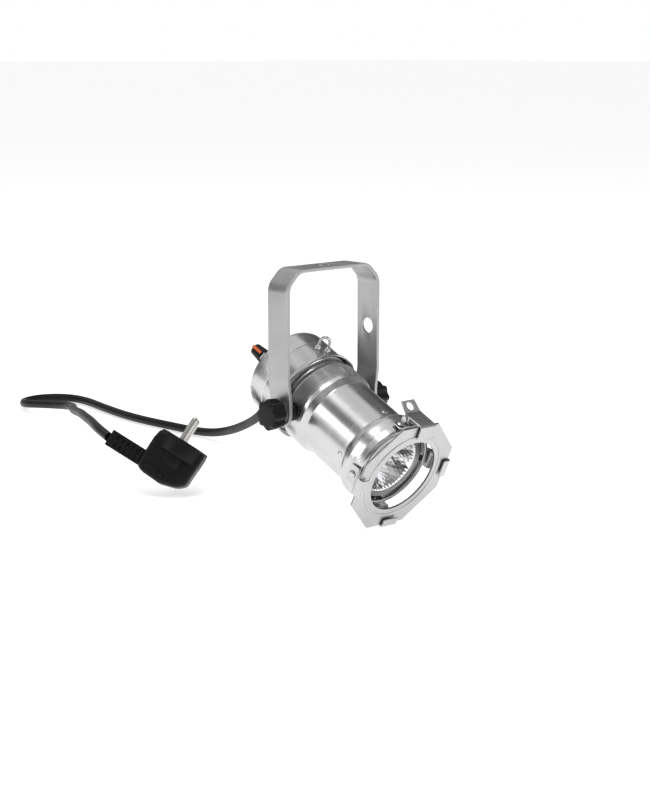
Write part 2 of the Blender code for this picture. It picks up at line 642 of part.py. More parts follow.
def make_latch():
    half = LATCH_WIDTH / 2
    # Base: a channel whose foot is riveted to the can and whose ears carry the pin.
    ear = half - STRIP - GAP
    foot = SEAT + GAP
    top = LATCH_UNDER
    base_shape = [
        (LATCH_X + ear, top),
        (LATCH_X + ear - STRIP, top),
        (LATCH_X + ear - STRIP, foot + STRIP),
        (LATCH_X - ear + STRIP, foot + STRIP),
        (LATCH_X - ear + STRIP, top),
        (LATCH_X - ear, top),
        (LATCH_X - ear, foot + STRIP),
        (LATCH_X - ear - 0.0072, foot + STRIP),
        (LATCH_X - ear - 0.0072, foot),
        (LATCH_X + ear, foot),
    ]
    base = outline("latch_base", [base_shape], LATCH_PIN - 0.004, LATCH_PIN + 0.0035)
    add(base, POLISHED)
    across = axes((0, LATCH_PIN_HEIGHT, LATCH_PIN), (1, 0, 0), (0, 0, 1))
    # The ears are rounded about the pin and taper down to the foot, so that the tab can swing past.
    crown = LATCH_UNDER - GAP - LATCH_PIN_HEIGHT
    turns = [math.pi * i / 12 for i in range(13)]
    clear = [(crown * math.cos(angle), -crown * math.sin(angle)) for angle in turns]
    clear += [(-EAR_FOOT, EAR_DROP), (-EAR_REACH, EAR_DROP), (-EAR_REACH, -EAR_REACH)]
    clear += [(EAR_REACH, -EAR_REACH), (EAR_REACH, EAR_DROP), (EAR_FOOT - 0.0005, EAR_DROP)]
    cutter = hidden(outline("latch_ear_cut", [clear], LATCH_X - half * 1.5, LATCH_X + half * 1.5), across)
    combine(base, cutter, "DIFFERENCE")
    hole = LATCH_PIN_RADIUS + GAP
    drill(base, hole, across, LATCH_X - half * 1.5, LATCH_X + half * 1.5, segments=16)
    for name, place in LATCH_RIVETS.items():
        drill(base, RIVET_RADIUS + GAP, place, SEAT * 0.9, SEAT + 0.002, segments=16)
        rivet(name, place, foot + STRIP, BEAD_RADIUS - SHEET - RIVET_INSIDE)
    # Latch: a hooked strip with a finger tab behind and two ears that turn on the pin.
    hook = FRAME_FRONT + CLIP_SLOT
    tab = Vector((math.cos(LATCH_TAB_ANGLE), math.sin(LATCH_TAB_ANGLE))) * LATCH_TAB
    knee = Vector((LATCH_PIN - 0.0017, LATCH_UNDER))
    path = [knee + tab, knee, (hook, LATCH_UNDER), (hook, LATCH_UNDER - LATCH_HOOK)]
    latch = outline("latch", [strip(path, STRIP)], LATCH_X - half, LATCH_X + half)
    # The outline's X runs forward and its Y up, so its Z points to the left.
    place = axes((0, 0, 0), (1, 0, 0), (0, 0, 1))
    flipped = Matrix.Scale(-1, 4, (0, 1, 0))
    latch.data.transform(flipped)
    latch.data.flip_normals()
    add(latch, POLISHED, place)
    for name, low in (("left", LATCH_X - half), ("right", LATCH_X + half - STRIP)):
        ear_low = (low, LATCH_PIN_HEIGHT - 0.0026, LATCH_PIN - 0.0016)
        ear_high = (low + STRIP, LATCH_UNDER + STRIP * 0.5, LATCH_PIN + 0.0030)
        lug = hidden(box(f"latch_ear_{name}", ear_low, ear_high))
        combine(latch, lug, "UNION")
    drill(latch, hole, across, LATCH_X - half * 1.5, LATCH_X + half * 1.5, segments=16)
    outer = knee + tab * 0.52
    normal = Vector((-tab.y, tab.x)).normalized()
    tab_hole = axes((LATCH_X, outer.y, outer.x), (0, normal.y, normal.x), (1, 0, 0))
    drill(latch, LATCH_TAB_HOLE, tab_hole, -0.003, 0.003)
    # Pin with one head.
    left = LATCH_X - half - GAP
    right = LATCH_X + half + 0.0012
    pin = [
        (0, right),
        (LATCH_PIN_RADIUS, right),
        (LATCH_PIN_RADIUS, left),
        (LATCH_PIN_RADIUS + 0.0008, left),
        (LATCH_PIN_RADIUS + 0.0008, left - STRIP),
        (0, left - STRIP),
    ]
    add(turned("latch_pin", pin, 16, closed=False), STEEL, across)


# Lamp ---------------------------------------------------------------------------------------------


def make_lamp():
    bezel_back = LAMP_FRONT - BEZEL_DEPTH
    housing_front = bezel_back - GAP
    taper = (HOUSING_BACK + housing_front) / 2
    wall = HOUSING_WALL
    narrow = LAMP_RADIUS - 0.0008
    housing = [
        (LAMP_RADIUS, housing_front),
        (LAMP_RADIUS, taper),
        (narrow, HOUSING_BACK),
        (narrow - wall, HOUSING_BACK),
        (LAMP_RADIUS - wall, taper),
        (LAMP_RADIUS - wall, housing_front),
    ]
    add(turned("lamp_housing", housing), CAST)
    bezel = ring("lamp_bezel", REFLECTOR_RADIUS + GAP, LAMP_RADIUS + 0.0002, bezel_back, LAMP_FRONT, 40)
    add(bezel, BLACK)
    back = REFLECTOR_BACK
    front = LAMP_FRONT - 0.001
    growth = (REFLECTOR_RADIUS**2 - REFLECTOR_NECK**2) / (front - back)
    bowl = []
    for i in range(8):
        position = front + (back - front) * i / 7
        bowl.append((math.sqrt(REFLECTOR_NECK**2 + growth * (position - back)), position))
    reflector = turned("lamp_reflector", bowl, 32, closed=False)
    sheet_metal(reflector, REFLECTOR_WALL)
    add(reflector, MIRROR)
    board_back = SINK_FRONT + GAP
    board_front = board_back + LED_BOARD_THICKNESS
    add(rod("led_board", LED_BOARD_RADIUS, board_back, board_front, 32), CAST)
    add(rod("led_emitter", EMITTER_RADIUS, board_front + GAP, board_front + 0.0015), PHOSPHOR)
    fins = []
    core = SINK_RADIUS * 0.4
    for i in range(SINK_FINS):
        angle = 2 * math.pi * i / SINK_FINS
        for radius, sign in ((core, -1), (SINK_RADIUS, -1), (SINK_RADIUS, 1), (core, 1)):
            across = 0.0006 * sign
            x = radius * math.cos(angle) - across * math.sin(angle)
            y = radius * math.sin(angle) + across * math.cos(angle)
            fins.append((x, y))
    plate = SINK_FRONT - 0.003
    add(outline("heat_sink", [fins], SINK_BACK, plate - GAP), CAST)
    add(rod("lamp_plate", SINK_RADIUS, plate, SINK_FRONT, 40), CAST)
    inner = LAMP_RADIUS + 0.0002 + GAP
    outer = BEAD_RADIUS - SHEET - 0.0008
    clamp = ring("lamp_retaining_ring", inner, outer, RETAINING_RING - 0.0012, RETAINING_RING, 40)
    add(clamp, STEEL)


# Driver and dimmer --------------------------------------------------------------------------------


def make_driver():
    width, height, thickness = DRIVER_BOARD
    front = DRIVER_BOARD_POSITION
    back = front - thickness
    board = box("driver_board", (-width / 2, -height / 2, back), (width / 2, height / 2, front))
    add(board, BOARD)
    pillar_low = CAP_BACK + SHEET + GAP
    for index, (x, y) in enumerate(PILLARS, 1):
        pillar = rod(f"board_pillar_{index}", PILLAR_RADIUS, pillar_low, back - GAP, 16)
        add(pillar, BRASS, Matrix.Translation((x, y, 0)))
        head = [
            (0, CAP_BACK - GAP - 0.0012 + 0.0048),
            (RIVET_RADIUS, CAP_BACK - GAP - 0.0012 + 0.0048),
            (RIVET_RADIUS, CAP_BACK - GAP),
            (0.0026, CAP_BACK - GAP),
            (0.0026, CAP_BACK - GAP - 0.0012),
            (0, CAP_BACK - GAP - 0.0012),
        ]
        add(turned(f"pillar_screw_{index}", head, 16, closed=False), STEEL, Matrix.Translation((x, y, 0)))
        drill(pillar, RIVET_RADIUS + GAP, Matrix.Translation((x, y, 0)), pillar_low - 0.001, -0.040)
    add(rod("driver_capacitor", 0.004, front + GAP, front + 0.011), BLACK, Matrix.Translation((0.008, 0.005, 0)))
    coil = ring("driver_coil", 0.0025, 0.006, front + GAP, front + 0.007, 24)
    add(coil, BRASS, Matrix.Translation((-0.008, -0.005, 0)))
    block_low = (-0.004, -0.014, back - GAP - 0.0085)
    add(box("terminal_block", block_low, (0.009, -0.005, back - GAP)), BLACK)


def make_dimmer():
    place = Matrix.Translation((*DIMMER_PLACE, 0))
    body_back = CAP_BACK + 0.004
    body_front = body_back + 0.0085
    nut_back = CAP_BACK - GAP - DIMMER_NUT_THICKNESS
    bore = DIMMER_SHAFT_RADIUS + GAP
    pot = [
        (0, body_front),
        (DIMMER_BODY_RADIUS, body_front),
        (DIMMER_BODY_RADIUS, body_back),
        (DIMMER_BUSH_RADIUS, body_back),
        (DIMMER_BUSH_RADIUS, nut_back),
        (bore, nut_back),
        (bore, body_back + 0.002),
        (0, body_back + 0.002),
    ]
    add(turned("dimmer_pot", pot, 24, closed=False), BLACK, place)
    hexagon = circle(0.0052, steps=6)
    hole = circle(DIMMER_BUSH_RADIUS + GAP, steps=24)
    nut = outline("dimmer_nut", [hexagon, hole], nut_back, CAP_BACK - GAP)
    add(nut, STEEL, place)
    knob_front = nut_back - GAP
    knob_back = knob_front - DIMMER_KNOB_LENGTH
    shaft_back = knob_back + 0.0023
    shaft = rod("dimmer_shaft", DIMMER_SHAFT_RADIUS, shaft_back, body_back + 0.002 - GAP, 16)
    add(shaft, STEEL, place)
    knob = [
        (0, shaft_back - GAP),
        (bore, shaft_back - GAP),
        (bore, knob_front),
        (DIMMER_KNOB_RADIUS, knob_front),
        (DIMMER_KNOB_TIP, knob_back),
        (0, knob_back),
    ]
    add(turned("dimmer_knob", knob, 24, closed=False), BLACK, place)


def make_gland():
    place = Matrix.Translation((*GLAND_PLACE, 0))
    flange = CAP_BACK - GAP
    inside = CAP_BACK + 0.006
    body = [
        (0, inside),
        (GLAND_RADIUS, inside),
        (GLAND_RADIUS, flange),
        (GLAND_FLANGE_RADIUS, flange),
        (GLAND_FLANGE_RADIUS, flange - 0.002),
        (GLAND_RADIUS * 1.2, flange - 0.0035),
        (CORD_RADIUS * 1.3, RELIEF_END),
        (0, RELIEF_END),
    ]
    add(turned("cable_gland", body, 24, closed=False), RUBBER, place)
    nut_low = CAP_BACK + SHEET + GAP
    nut = ring("gland_nut", GLAND_RADIUS + GAP, GLAND_FLANGE_RADIUS, nut_low, nut_low + 0.003, 24)
    add(nut, BLACK, place)


# Mains lead and plug ------------------------------------------------------------------------------


def smooth_route(route, step):
    """Points along a natural cubic spline through the route, about a step apart."""
    knots = np.array(route)
    reach = np.linalg.norm(np.diff(knots, axis=0), axis=1)
    when = np.concatenate(([0], np.cumsum(np.sqrt(reach))))
    span = np.diff(when)
    count = len(knots)
    matrix = np.eye(count)
    slopes = np.zeros((count, 3))
    for i in range(1, count - 1):
        matrix[i, i - 1:i + 2] = span[i - 1], 2 * (span[i - 1] + span[i]), span[i]
        change = (knots[i + 1] - knots[i]) / span[i] - (knots[i] - knots[i - 1]) / span[i - 1]
        slopes[i] = 6 * change
    bends = np.linalg.solve(matrix, slopes)
    fine = []
    for i in range(count - 1):
        for t in np.linspace(0, span[i], 24, endpoint=False):
            rest = span[i] - t
            point = (bends[i] * rest**3 + bends[i + 1] * t**3) / (6 * span[i])
            point += (knots[i] / span[i] - bends[i] * span[i] / 6) * rest
            point += (knots[i + 1] / span[i] - bends[i + 1] * span[i] / 6) * t
            fine.append(point)
    fine.append(knots[-1])
    fine = np.array(fine)
    along = np.concatenate(([0], np.cumsum(np.linalg.norm(np.diff(fine, axis=0), axis=1))))
    places = np.linspace(0, along[-1], max(2, round(along[-1] / step)) + 1)
    return np.array([np.interp(places, along, fine[:, axis]) for axis in range(3)]).T


def make_cord():
    whole = smooth_route(CORD_DROP + CORD_RUN[1:], CORD_STEP) + np.array(ROUTE_SHIFT)
    landing = np.array(CORD_DROP[-1]) + np.array(ROUTE_SHIFT)
    split = int(np.argmin(np.linalg.norm(whole - landing, axis=1)))
    # The two pieces meet square to the lead, and every end has a short straight stretch.
    heading = whole[split + 1] - whole[split - 1]
    heading /= np.linalg.norm(heading)
    near, far = heading * GAP / 2, heading * CORD_RADIUS
    meeting = whole[split]
    leaving = np.array(BEAM) * -CORD_RADIUS
    arriving = np.array(PLUG_ALONG) * CORD_RADIUS
    drop = [whole[0], whole[0] + leaving, *whole[1:split], meeting - far, meeting - near]
    run = [meeting + near, meeting + far, *whole[split + 1:-1], whole[-1] - arriving, whole[-1]]
    add(wire("cord_drop", drop, CORD_RADIUS, 3), RUBBER, parent=None)
    add(wire("cord_run", run, CORD_RADIUS, 3), RUBBER, parent=None)


def make_plug():
    side_axis = PLUG_ALONG.cross(PLUG_PINS).normalized()
    pin_axis = side_axis.cross(PLUG_ALONG).normalized()
    # In the plug's frame X runs away from the lead, Y along the pins and Z across the plug.
    lying = axes(PLUG_ORIGIN, side_axis, PLUG_ALONG)
    grip = [
        (0.0163, PLUG_FACE - 0.0005),
        (-0.0221, PLUG_FACE - 0.0005),
        (GRIP_BACK, -0.0040),
        (GRIP_BACK, -0.0170),
        (-0.0189, -0.0198),
        (-0.0030, -0.0207),
        (0.0100, -0.0165),
        (0.0152, -0.0121),
    ]
    body = outline("plug_body", [grip], -PLUG_GRIP_HALF, PLUG_GRIP_HALF)
    add(body, RUBBER, lying, parent=None)
    upright = axes(PLUG_ORIGIN + PLUG_ALONG * PLUG_CENTRE, pin_axis, PLUG_ALONG)
    face = rod("plug_face", PLUG_FACE_RADIUS, PLUG_FACE - PLUG_FACE_DEPTH, PLUG_FACE, 40)
    hidden(face, upright, parent=None)
    combine(body, face, "UNION")
    pin_low = PLUG_FACE - 0.008
    for name, sign in (("one", 1), ("two", -1)):
        centre = PLUG_ORIGIN + PLUG_ALONG * -0.005 + side_axis * sign * PIN_SPACING / 2
        place = axes(centre, pin_axis, PLUG_ALONG)
        drill(body, PIN_RADIUS + GAP, place, pin_low - GAP, PLUG_FACE + 0.002, None, 16)
        tip = PLUG_FACE + PIN_LENGTH
        pin = [
            (0, tip),
            (PIN_RADIUS * 0.6, tip - 0.0003),
            (PIN_RADIUS, tip - 0.0020),
            (PIN_RADIUS, pin_low),
            (0, pin_low),
        ]
        add(turned(f"plug_pin_{name}", pin, 16, closed=False), BRASS, place, parent=None)
    # An earth strip lies in each of the two guide grooves at the ends of the face.
    for name, sign in (("far", 1), ("near", -1)):
        outer = PLUG_CENTRE + sign * (PLUG_FACE_RADIUS + 0.001)
        inner = PLUG_CENTRE + sign * (PLUG_FACE_RADIUS - 0.0034)
        low_x, high_x = sorted((outer, inner))
        groove_low = (low_x, PLUG_FACE - 0.0105, -0.0025)
        groove = box(f"plug_groove_{name}", groove_low, (high_x, PLUG_FACE + 0.002, 0.0025))
        combine(body, hidden(groove, lying, parent=None), "DIFFERENCE")
        strip_in = inner + sign * GAP
        strip_out = inner + sign * (GAP + 0.0010)
        low_x, high_x = sorted((strip_in, strip_out))
        contact_low = (low_x, PLUG_FACE - 0.0102, -0.0021)
        contact = box(f"earth_contact_{name}", contact_low, (high_x, PLUG_FACE - 0.0004, 0.0021))
        add(contact, BRASS, lying, parent=None)
    relief_end = Vector((RELIEF_LAST, -0.0116))
    relief_start = Vector((GRIP_BACK - GAP, -0.0108))
    relief = [
        (relief_start.x, relief_start.y + RELIEF_HALF_DEPTH),
        (relief_end.x, relief_end.y + RELIEF_HALF_DEPTH),
        (relief_end.x, relief_end.y - RELIEF_HALF_DEPTH),
        (relief_start.x, relief_start.y - RELIEF_HALF_DEPTH),
    ]
    boot = outline("plug_relief", [relief], -0.0055, 0.0055)
    add(boot, RUBBER, lying, parent=None)


# Shared places, then the assembly -----------------------------------------------------------------

CLIPS = {
    "left": (math.radians(180), 0.0018),
    "right": (0.0, 0.0005),
    "bottom": (math.radians(270), 0.0025),
}
LATCH_RIVETS = {
    "latch_rivet_side": axes((-0.0046, 0, LATCH_PIN - 0.0005), (0, 1, 0), (1, 0, 0)),
    "latch_rivet_middle": axes((LATCH_X, 0, LATCH_PIN), (0, 1, 0), (1, 0, 0)),
}
CAP_SCREW_POSITION = CAP_FRONT - 0.0075
CAP_SCREWS = {"cap_screw_right": 0.0, "cap_screw_bottom": math.radians(270)}
PILLARS = ((-0.008, 0.0125), (0.014, 0.0090))

make_bracket()
make_can()
make_rear_cap()
make_cap_screws()
make_safety_eye()
make_clamp("left", -1)
make_clamp("right", 1)
make_filter_frame()
for clip_name, (clip_angle, clip_across) in CLIPS.items():
    make_clip(clip_name, clip_angle, clip_across)
make_latch()
make_lamp()
make_driver()
make_dimmer()
make_gland()
make_cord()
make_plug()
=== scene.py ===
"""The looks of a short par can light on its hanging bracket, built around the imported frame.

Pieces of the can are shaped in the can's own frame, X across, Y up from the beam and Z forward along
it, and are put in place by CAN. Metres.
"""

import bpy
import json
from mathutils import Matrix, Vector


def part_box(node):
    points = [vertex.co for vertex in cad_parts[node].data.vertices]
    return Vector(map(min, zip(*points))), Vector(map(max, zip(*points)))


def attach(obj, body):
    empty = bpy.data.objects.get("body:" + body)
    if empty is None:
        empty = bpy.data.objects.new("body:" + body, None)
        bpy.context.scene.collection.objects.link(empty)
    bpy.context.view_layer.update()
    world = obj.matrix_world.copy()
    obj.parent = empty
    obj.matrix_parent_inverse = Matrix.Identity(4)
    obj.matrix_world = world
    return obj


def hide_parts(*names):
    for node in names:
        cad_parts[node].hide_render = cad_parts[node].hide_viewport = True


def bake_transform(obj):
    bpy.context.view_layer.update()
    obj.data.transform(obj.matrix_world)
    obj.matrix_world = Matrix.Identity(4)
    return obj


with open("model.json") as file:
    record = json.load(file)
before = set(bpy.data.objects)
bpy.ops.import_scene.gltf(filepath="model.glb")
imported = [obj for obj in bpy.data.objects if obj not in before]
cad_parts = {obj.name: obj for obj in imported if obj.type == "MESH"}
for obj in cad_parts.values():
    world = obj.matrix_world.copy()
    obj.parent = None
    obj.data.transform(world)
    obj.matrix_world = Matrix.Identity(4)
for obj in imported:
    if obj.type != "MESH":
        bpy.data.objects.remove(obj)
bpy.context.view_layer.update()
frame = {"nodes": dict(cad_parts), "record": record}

import json
import math

import bmesh
import bpy
import numpy as np
from mathutils import Matrix, Vector

joints = {joint["name"]: joint for joint in frame["record"]["behaviour"]["joints"]}
PIVOT = Vector(joints["tilt"]["pos_m"])
BEAM = Vector(joints["dimmer_turn"]["axis"])
TILT = math.asin(-BEAM.z)
CAN = Matrix.Translation(PIVOT) @ Matrix.Rotation(math.radians(90) + TILT, 4, "X")
WORLD = Matrix.Identity(4)


# Camera, floor and light ----------------------------------------------------------------------------
# The light stands over a pale floor under large soft lamps. The surroundings hold a few soft bands,
# so that the polished sheet has something to mirror.

EYE = Vector((-0.84458, -0.91935, 0.14487))
HEADING = math.radians(42.583)
FALL = math.radians(10.755)
LENS = 82.98

camera_data = bpy.data.cameras.new("camera")
camera_data.lens = LENS
camera_data.sensor_width = 36
camera_data.sensor_fit = "AUTO"
camera_data.clip_start = 0.02
camera = bpy.data.objects.new("camera", camera_data)
camera.location = EYE
camera.rotation_euler = (math.radians(90) - FALL, 0, -HEADING)
bpy.context.scene.collection.objects.link(camera)
bpy.context.scene.camera = camera
bpy.context.scene.view_settings.view_transform = "Standard"

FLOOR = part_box("cord_run")[0][2] - 0.0012
bm = bmesh.new()
bmesh.ops.create_grid(bm, x_segments=1, y_segments=1, size=40)
bmesh.ops.translate(bm, verts=bm.verts, vec=(0, 0, FLOOR))
floor_mesh = bpy.data.meshes.new("floor")
bm.to_mesh(floor_mesh)
bm.free()
floor = bpy.data.objects.new("floor", floor_mesh)
bpy.context.scene.collection.objects.link(floor)
floor_finish = bpy.data.materials.new("floor_paper")
floor_finish.use_nodes = True
paper = floor_finish.node_tree.nodes["Principled BSDF"]
paper.inputs["Base Color"].default_value = (0.93, 0.93, 0.93, 1)
paper.inputs["Roughness"].default_value = 0.9
paper.inputs["Specular IOR Level"].default_value = 0.1
paper.inputs["Emission Color"].default_value = (1, 1, 1, 1)
paper.inputs["Emission Strength"].default_value = 0.62
floor_mesh.materials.append(floor_finish)

room = bpy.data.worlds.new("soft_room")
bpy.context.scene.world = room
room.use_nodes = True
tree = room.node_tree
tree.nodes.clear()
sky = tree.nodes.new("ShaderNodeTexCoord")
split = tree.nodes.new("ShaderNodeSeparateXYZ")
tree.links.new(sky.outputs["Generated"], split.inputs[0])
height = tree.nodes.new("ShaderNodeValToRGB")
tree.links.new(split.outputs["Z"], height.inputs["Fac"])
height.color_ramp.elements[0].position = 0.0
height.color_ramp.elements[0].color = (0.62, 0.62, 0.62, 1)
height.color_ramp.elements[1].position = 1.0
height.color_ramp.elements[1].color = (0.7, 0.7, 0.7, 1)
for position, level in ((0.10, 0.40), (0.30, 0.20), (0.46, 0.55), (0.62, 0.95), (0.80, 0.40)):
    stop = height.color_ramp.elements.new(position)
    stop.color = (level, level, level, 1)
bands = tree.nodes.new("ShaderNodeTexNoise")
bands.inputs["Scale"].default_value = 1.7
bands.inputs["Detail"].default_value = 1.0
tree.links.new(sky.outputs["Generated"], bands.inputs["Vector"])
contrast = tree.nodes.new("ShaderNodeMapRange")
contrast.inputs["From Min"].default_value = 0.35
contrast.inputs["From Max"].default_value = 0.65
contrast.inputs["To Min"].default_value = 0.25
contrast.inputs["To Max"].default_value = 1.35
tree.links.new(bands.outputs["Fac"], contrast.inputs["Value"])
mixed = tree.nodes.new("ShaderNodeMixRGB")
mixed.blend_type = "MULTIPLY"
mixed.inputs["Fac"].default_value = 1.0
tree.links.new(height.outputs["Color"], mixed.inputs["Color1"])
tree.links.new(contrast.outputs["Result"], mixed.inputs["Color2"])
surround = tree.nodes.new("ShaderNodeBackground")
tree.links.new(mixed.outputs["Color"], surround.inputs["Color"])
surround.inputs["Strength"].default_value = 0.85
backdrop = tree.nodes.new("ShaderNodeBackground")
backdrop.inputs["Color"].default_value = (1, 1, 1, 1)
backdrop.inputs["Strength"].default_value = 1.0
rays = tree.nodes.new("ShaderNodeLightPath")
choose = tree.nodes.new("ShaderNodeMixShader")
tree.links.new(rays.outputs["Is Camera Ray"], choose.inputs["Fac"])
tree.links.new(surround.outputs[0], choose.inputs[1])
tree.links.new(backdrop.outputs[0], choose.inputs[2])
ending = tree.nodes.new("ShaderNodeOutputWorld")
tree.links.new(choose.outputs[0], ending.inputs["Surface"])


def soft_lamp(name, place, target, size, watts):
    data = bpy.data.lights.new(name, "AREA")
    data.shape = "RECTANGLE"
    data.size, data.size_y = size
    data.energy = watts
    lamp = bpy.data.objects.new(name, data)
    lamp.location = place
    aim = Vector(target) - Vector(place)
    lamp.rotation_euler = aim.to_track_quat("-Z", "Y").to_euler()
    bpy.context.scene.collection.objects.link(lamp)


soft_lamp("key", (-0.5, -0.4, 1.5), (0, 0, -0.1), (0.9, 0.5), 6)
soft_lamp("side", (-1.6, 0.5, 0.5), (0, 0, -0.1), (0.35, 1.1), 5)
soft_lamp("front", (0.5, -1.5, 0.45), (0, 0, -0.1), (0.9, 0.5), 3)
soft_lamp("sweep", (0.0, 0.6, 2.2), (0.0, 0.4, -0.2), (2.5, 2.5), 12)


# Cord -------------------------------------------------------------------------------------------------
# A round black PVC mains lead, 7 mm across. It leaves the gland behind the cap, drops to the floor,
# runs round one loop and comes back into the plug.

CORD_DIAMETER = 0.007
CORD_SIDES = 20
ROUTE = [
    (0.0165, 0.0594, -0.0861), (0.0170, 0.0690, -0.0816), (0.0215, 0.0810, -0.0793),
    (0.0310, 0.0930, -0.0825), (0.0420, 0.1045, -0.0935), (0.0505, 0.1155, -0.1090),
    (0.0570, 0.1280, -0.1240), (0.0640, 0.1450, -0.1355), (0.0725, 0.1660, -0.1450),
    (0.0815, 0.1900, -0.1540), (0.0890, 0.2150, -0.1620), (0.0930, 0.2420, -0.1680),
    (0.0935, 0.2680, -0.1700), (0.0915, 0.2950, -0.1700), (0.0900, 0.3250, -0.1700),
    (0.0910, 0.3550, -0.1700), (0.0950, 0.3850, -0.1700), (0.1000, 0.4120, -0.1700),
    (0.1035, 0.4320, -0.1700), (0.1030, 0.4500, -0.1700), (0.0950, 0.4660, -0.1700),
    (0.0790, 0.4740, -0.1700), (0.0620, 0.4690, -0.1695), (0.0510, 0.4560, -0.1680),
    (0.0455, 0.4380, -0.1655), (0.0434, 0.3775, -0.1582), (0.0164, 0.3283, -0.1507),
    (-0.0085, 0.2838, -0.1437), (-0.0311, 0.2439, -0.1379), (-0.0509, 0.2079, -0.1336),
    (-0.0682, 0.1739, -0.1317), (-0.0754, 0.1508, -0.1337),
]


def smooth_route(route, step):
    """Points along a natural cubic spline through the route, about a step apart."""
    knots = np.array(route)
    reach = np.linalg.norm(np.diff(knots, axis=0), axis=1)
    when = np.concatenate(([0], np.cumsum(np.sqrt(reach))))
    span = np.diff(when)
    count = len(knots)
    matrix = np.eye(count)
    slopes = np.zeros((count, 3))
    for i in range(1, count - 1):
        matrix[i, i - 1:i + 2] = span[i - 1], 2 * (span[i - 1] + span[i]), span[i]
        slopes[i] = 6 * ((knots[i + 1] - knots[i]) / span[i] - (knots[i] - knots[i - 1]) / span[i - 1])
    bends = np.linalg.solve(matrix, slopes)
    fine = []
    for i in range(count - 1):
        for t in np.linspace(0, span[i], 24, endpoint=False):
            rest = span[i] - t
            point = (bends[i] * rest**3 + bends[i + 1] * t**3) / (6 * span[i])
            point += (knots[i] / span[i] - bends[i] * span[i] / 6) * rest
            point += (knots[i + 1] / span[i] - bends[i + 1] * span[i] / 6) * t
            fine.append(point)
    fine = np.array([*fine, knots[-1]])
    along = np.concatenate(([0], np.cumsum(np.linalg.norm(np.diff(fine, axis=0), axis=1))))
    places = np.linspace(0, along[-1], round(along[-1] / step) + 1)
    return np.array([np.interp(places, along, fine[:, axis]) for axis in range(3)]).T


def wire(bm, points, radius, sides=12):
    """A round wire or lead swept along points, with flat ends."""
    direction = (points[1] - points[0]).normalized()
    place = Matrix.Translation(points[0]) @ direction.to_track_quat("Z", "X").to_matrix().to_4x4()
    bmesh.ops.create_circle(bm, segments=sides, radius=radius, matrix=place, cap_ends=True)
    ring_edges = [e for e in bm.edges if e.is_valid and len(e.link_faces) == 1]
    for before, here, after in zip(points, points[1:], points[2:] + [points[-1] * 2 - points[-2]]):
        old = direction
        direction = (after - before).normalized()
        rim = bmesh.ops.extrude_edge_only(bm, edges=ring_edges)["geom"]
        rim_verts = [g for g in rim if isinstance(g, bmesh.types.BMVert)]
        ring_edges = [g for g in rim if isinstance(g, bmesh.types.BMEdge)]
        ring_edges = [e for e in ring_edges if all(v in rim_verts for v in e.verts)]
        turn = old.rotation_difference(direction).to_matrix().to_4x4()
        bmesh.ops.transform(
            bm, matrix=Matrix.Translation(here) @ turn @ Matrix.Translation(-before), verts=rim_verts
        )
    bmesh.ops.contextual_create(bm, geom=ring_edges)
    bmesh.ops.recalc_face_normals(bm, faces=bm.faces)


def finish(bm, name, body, material, nodes=(), place=WORLD, crease=35):
    """Turns a bmesh into a piece that rides on its body and stands for its nodes."""
    bmesh.ops.transform(bm, matrix=place, verts=bm.verts)
    mesh = bpy.data.meshes.new(name)
    bm.to_mesh(mesh)
    bm.free()
    mesh.materials.append(material)
    mesh.shade_smooth()
    mesh.set_sharp_from_angle(angle=math.radians(crease))
    obj = bpy.data.objects.new(name, mesh)
    bpy.context.scene.collection.objects.link(obj)
    if body:
        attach(obj, body)
    if nodes:
        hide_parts(*nodes)
    return obj


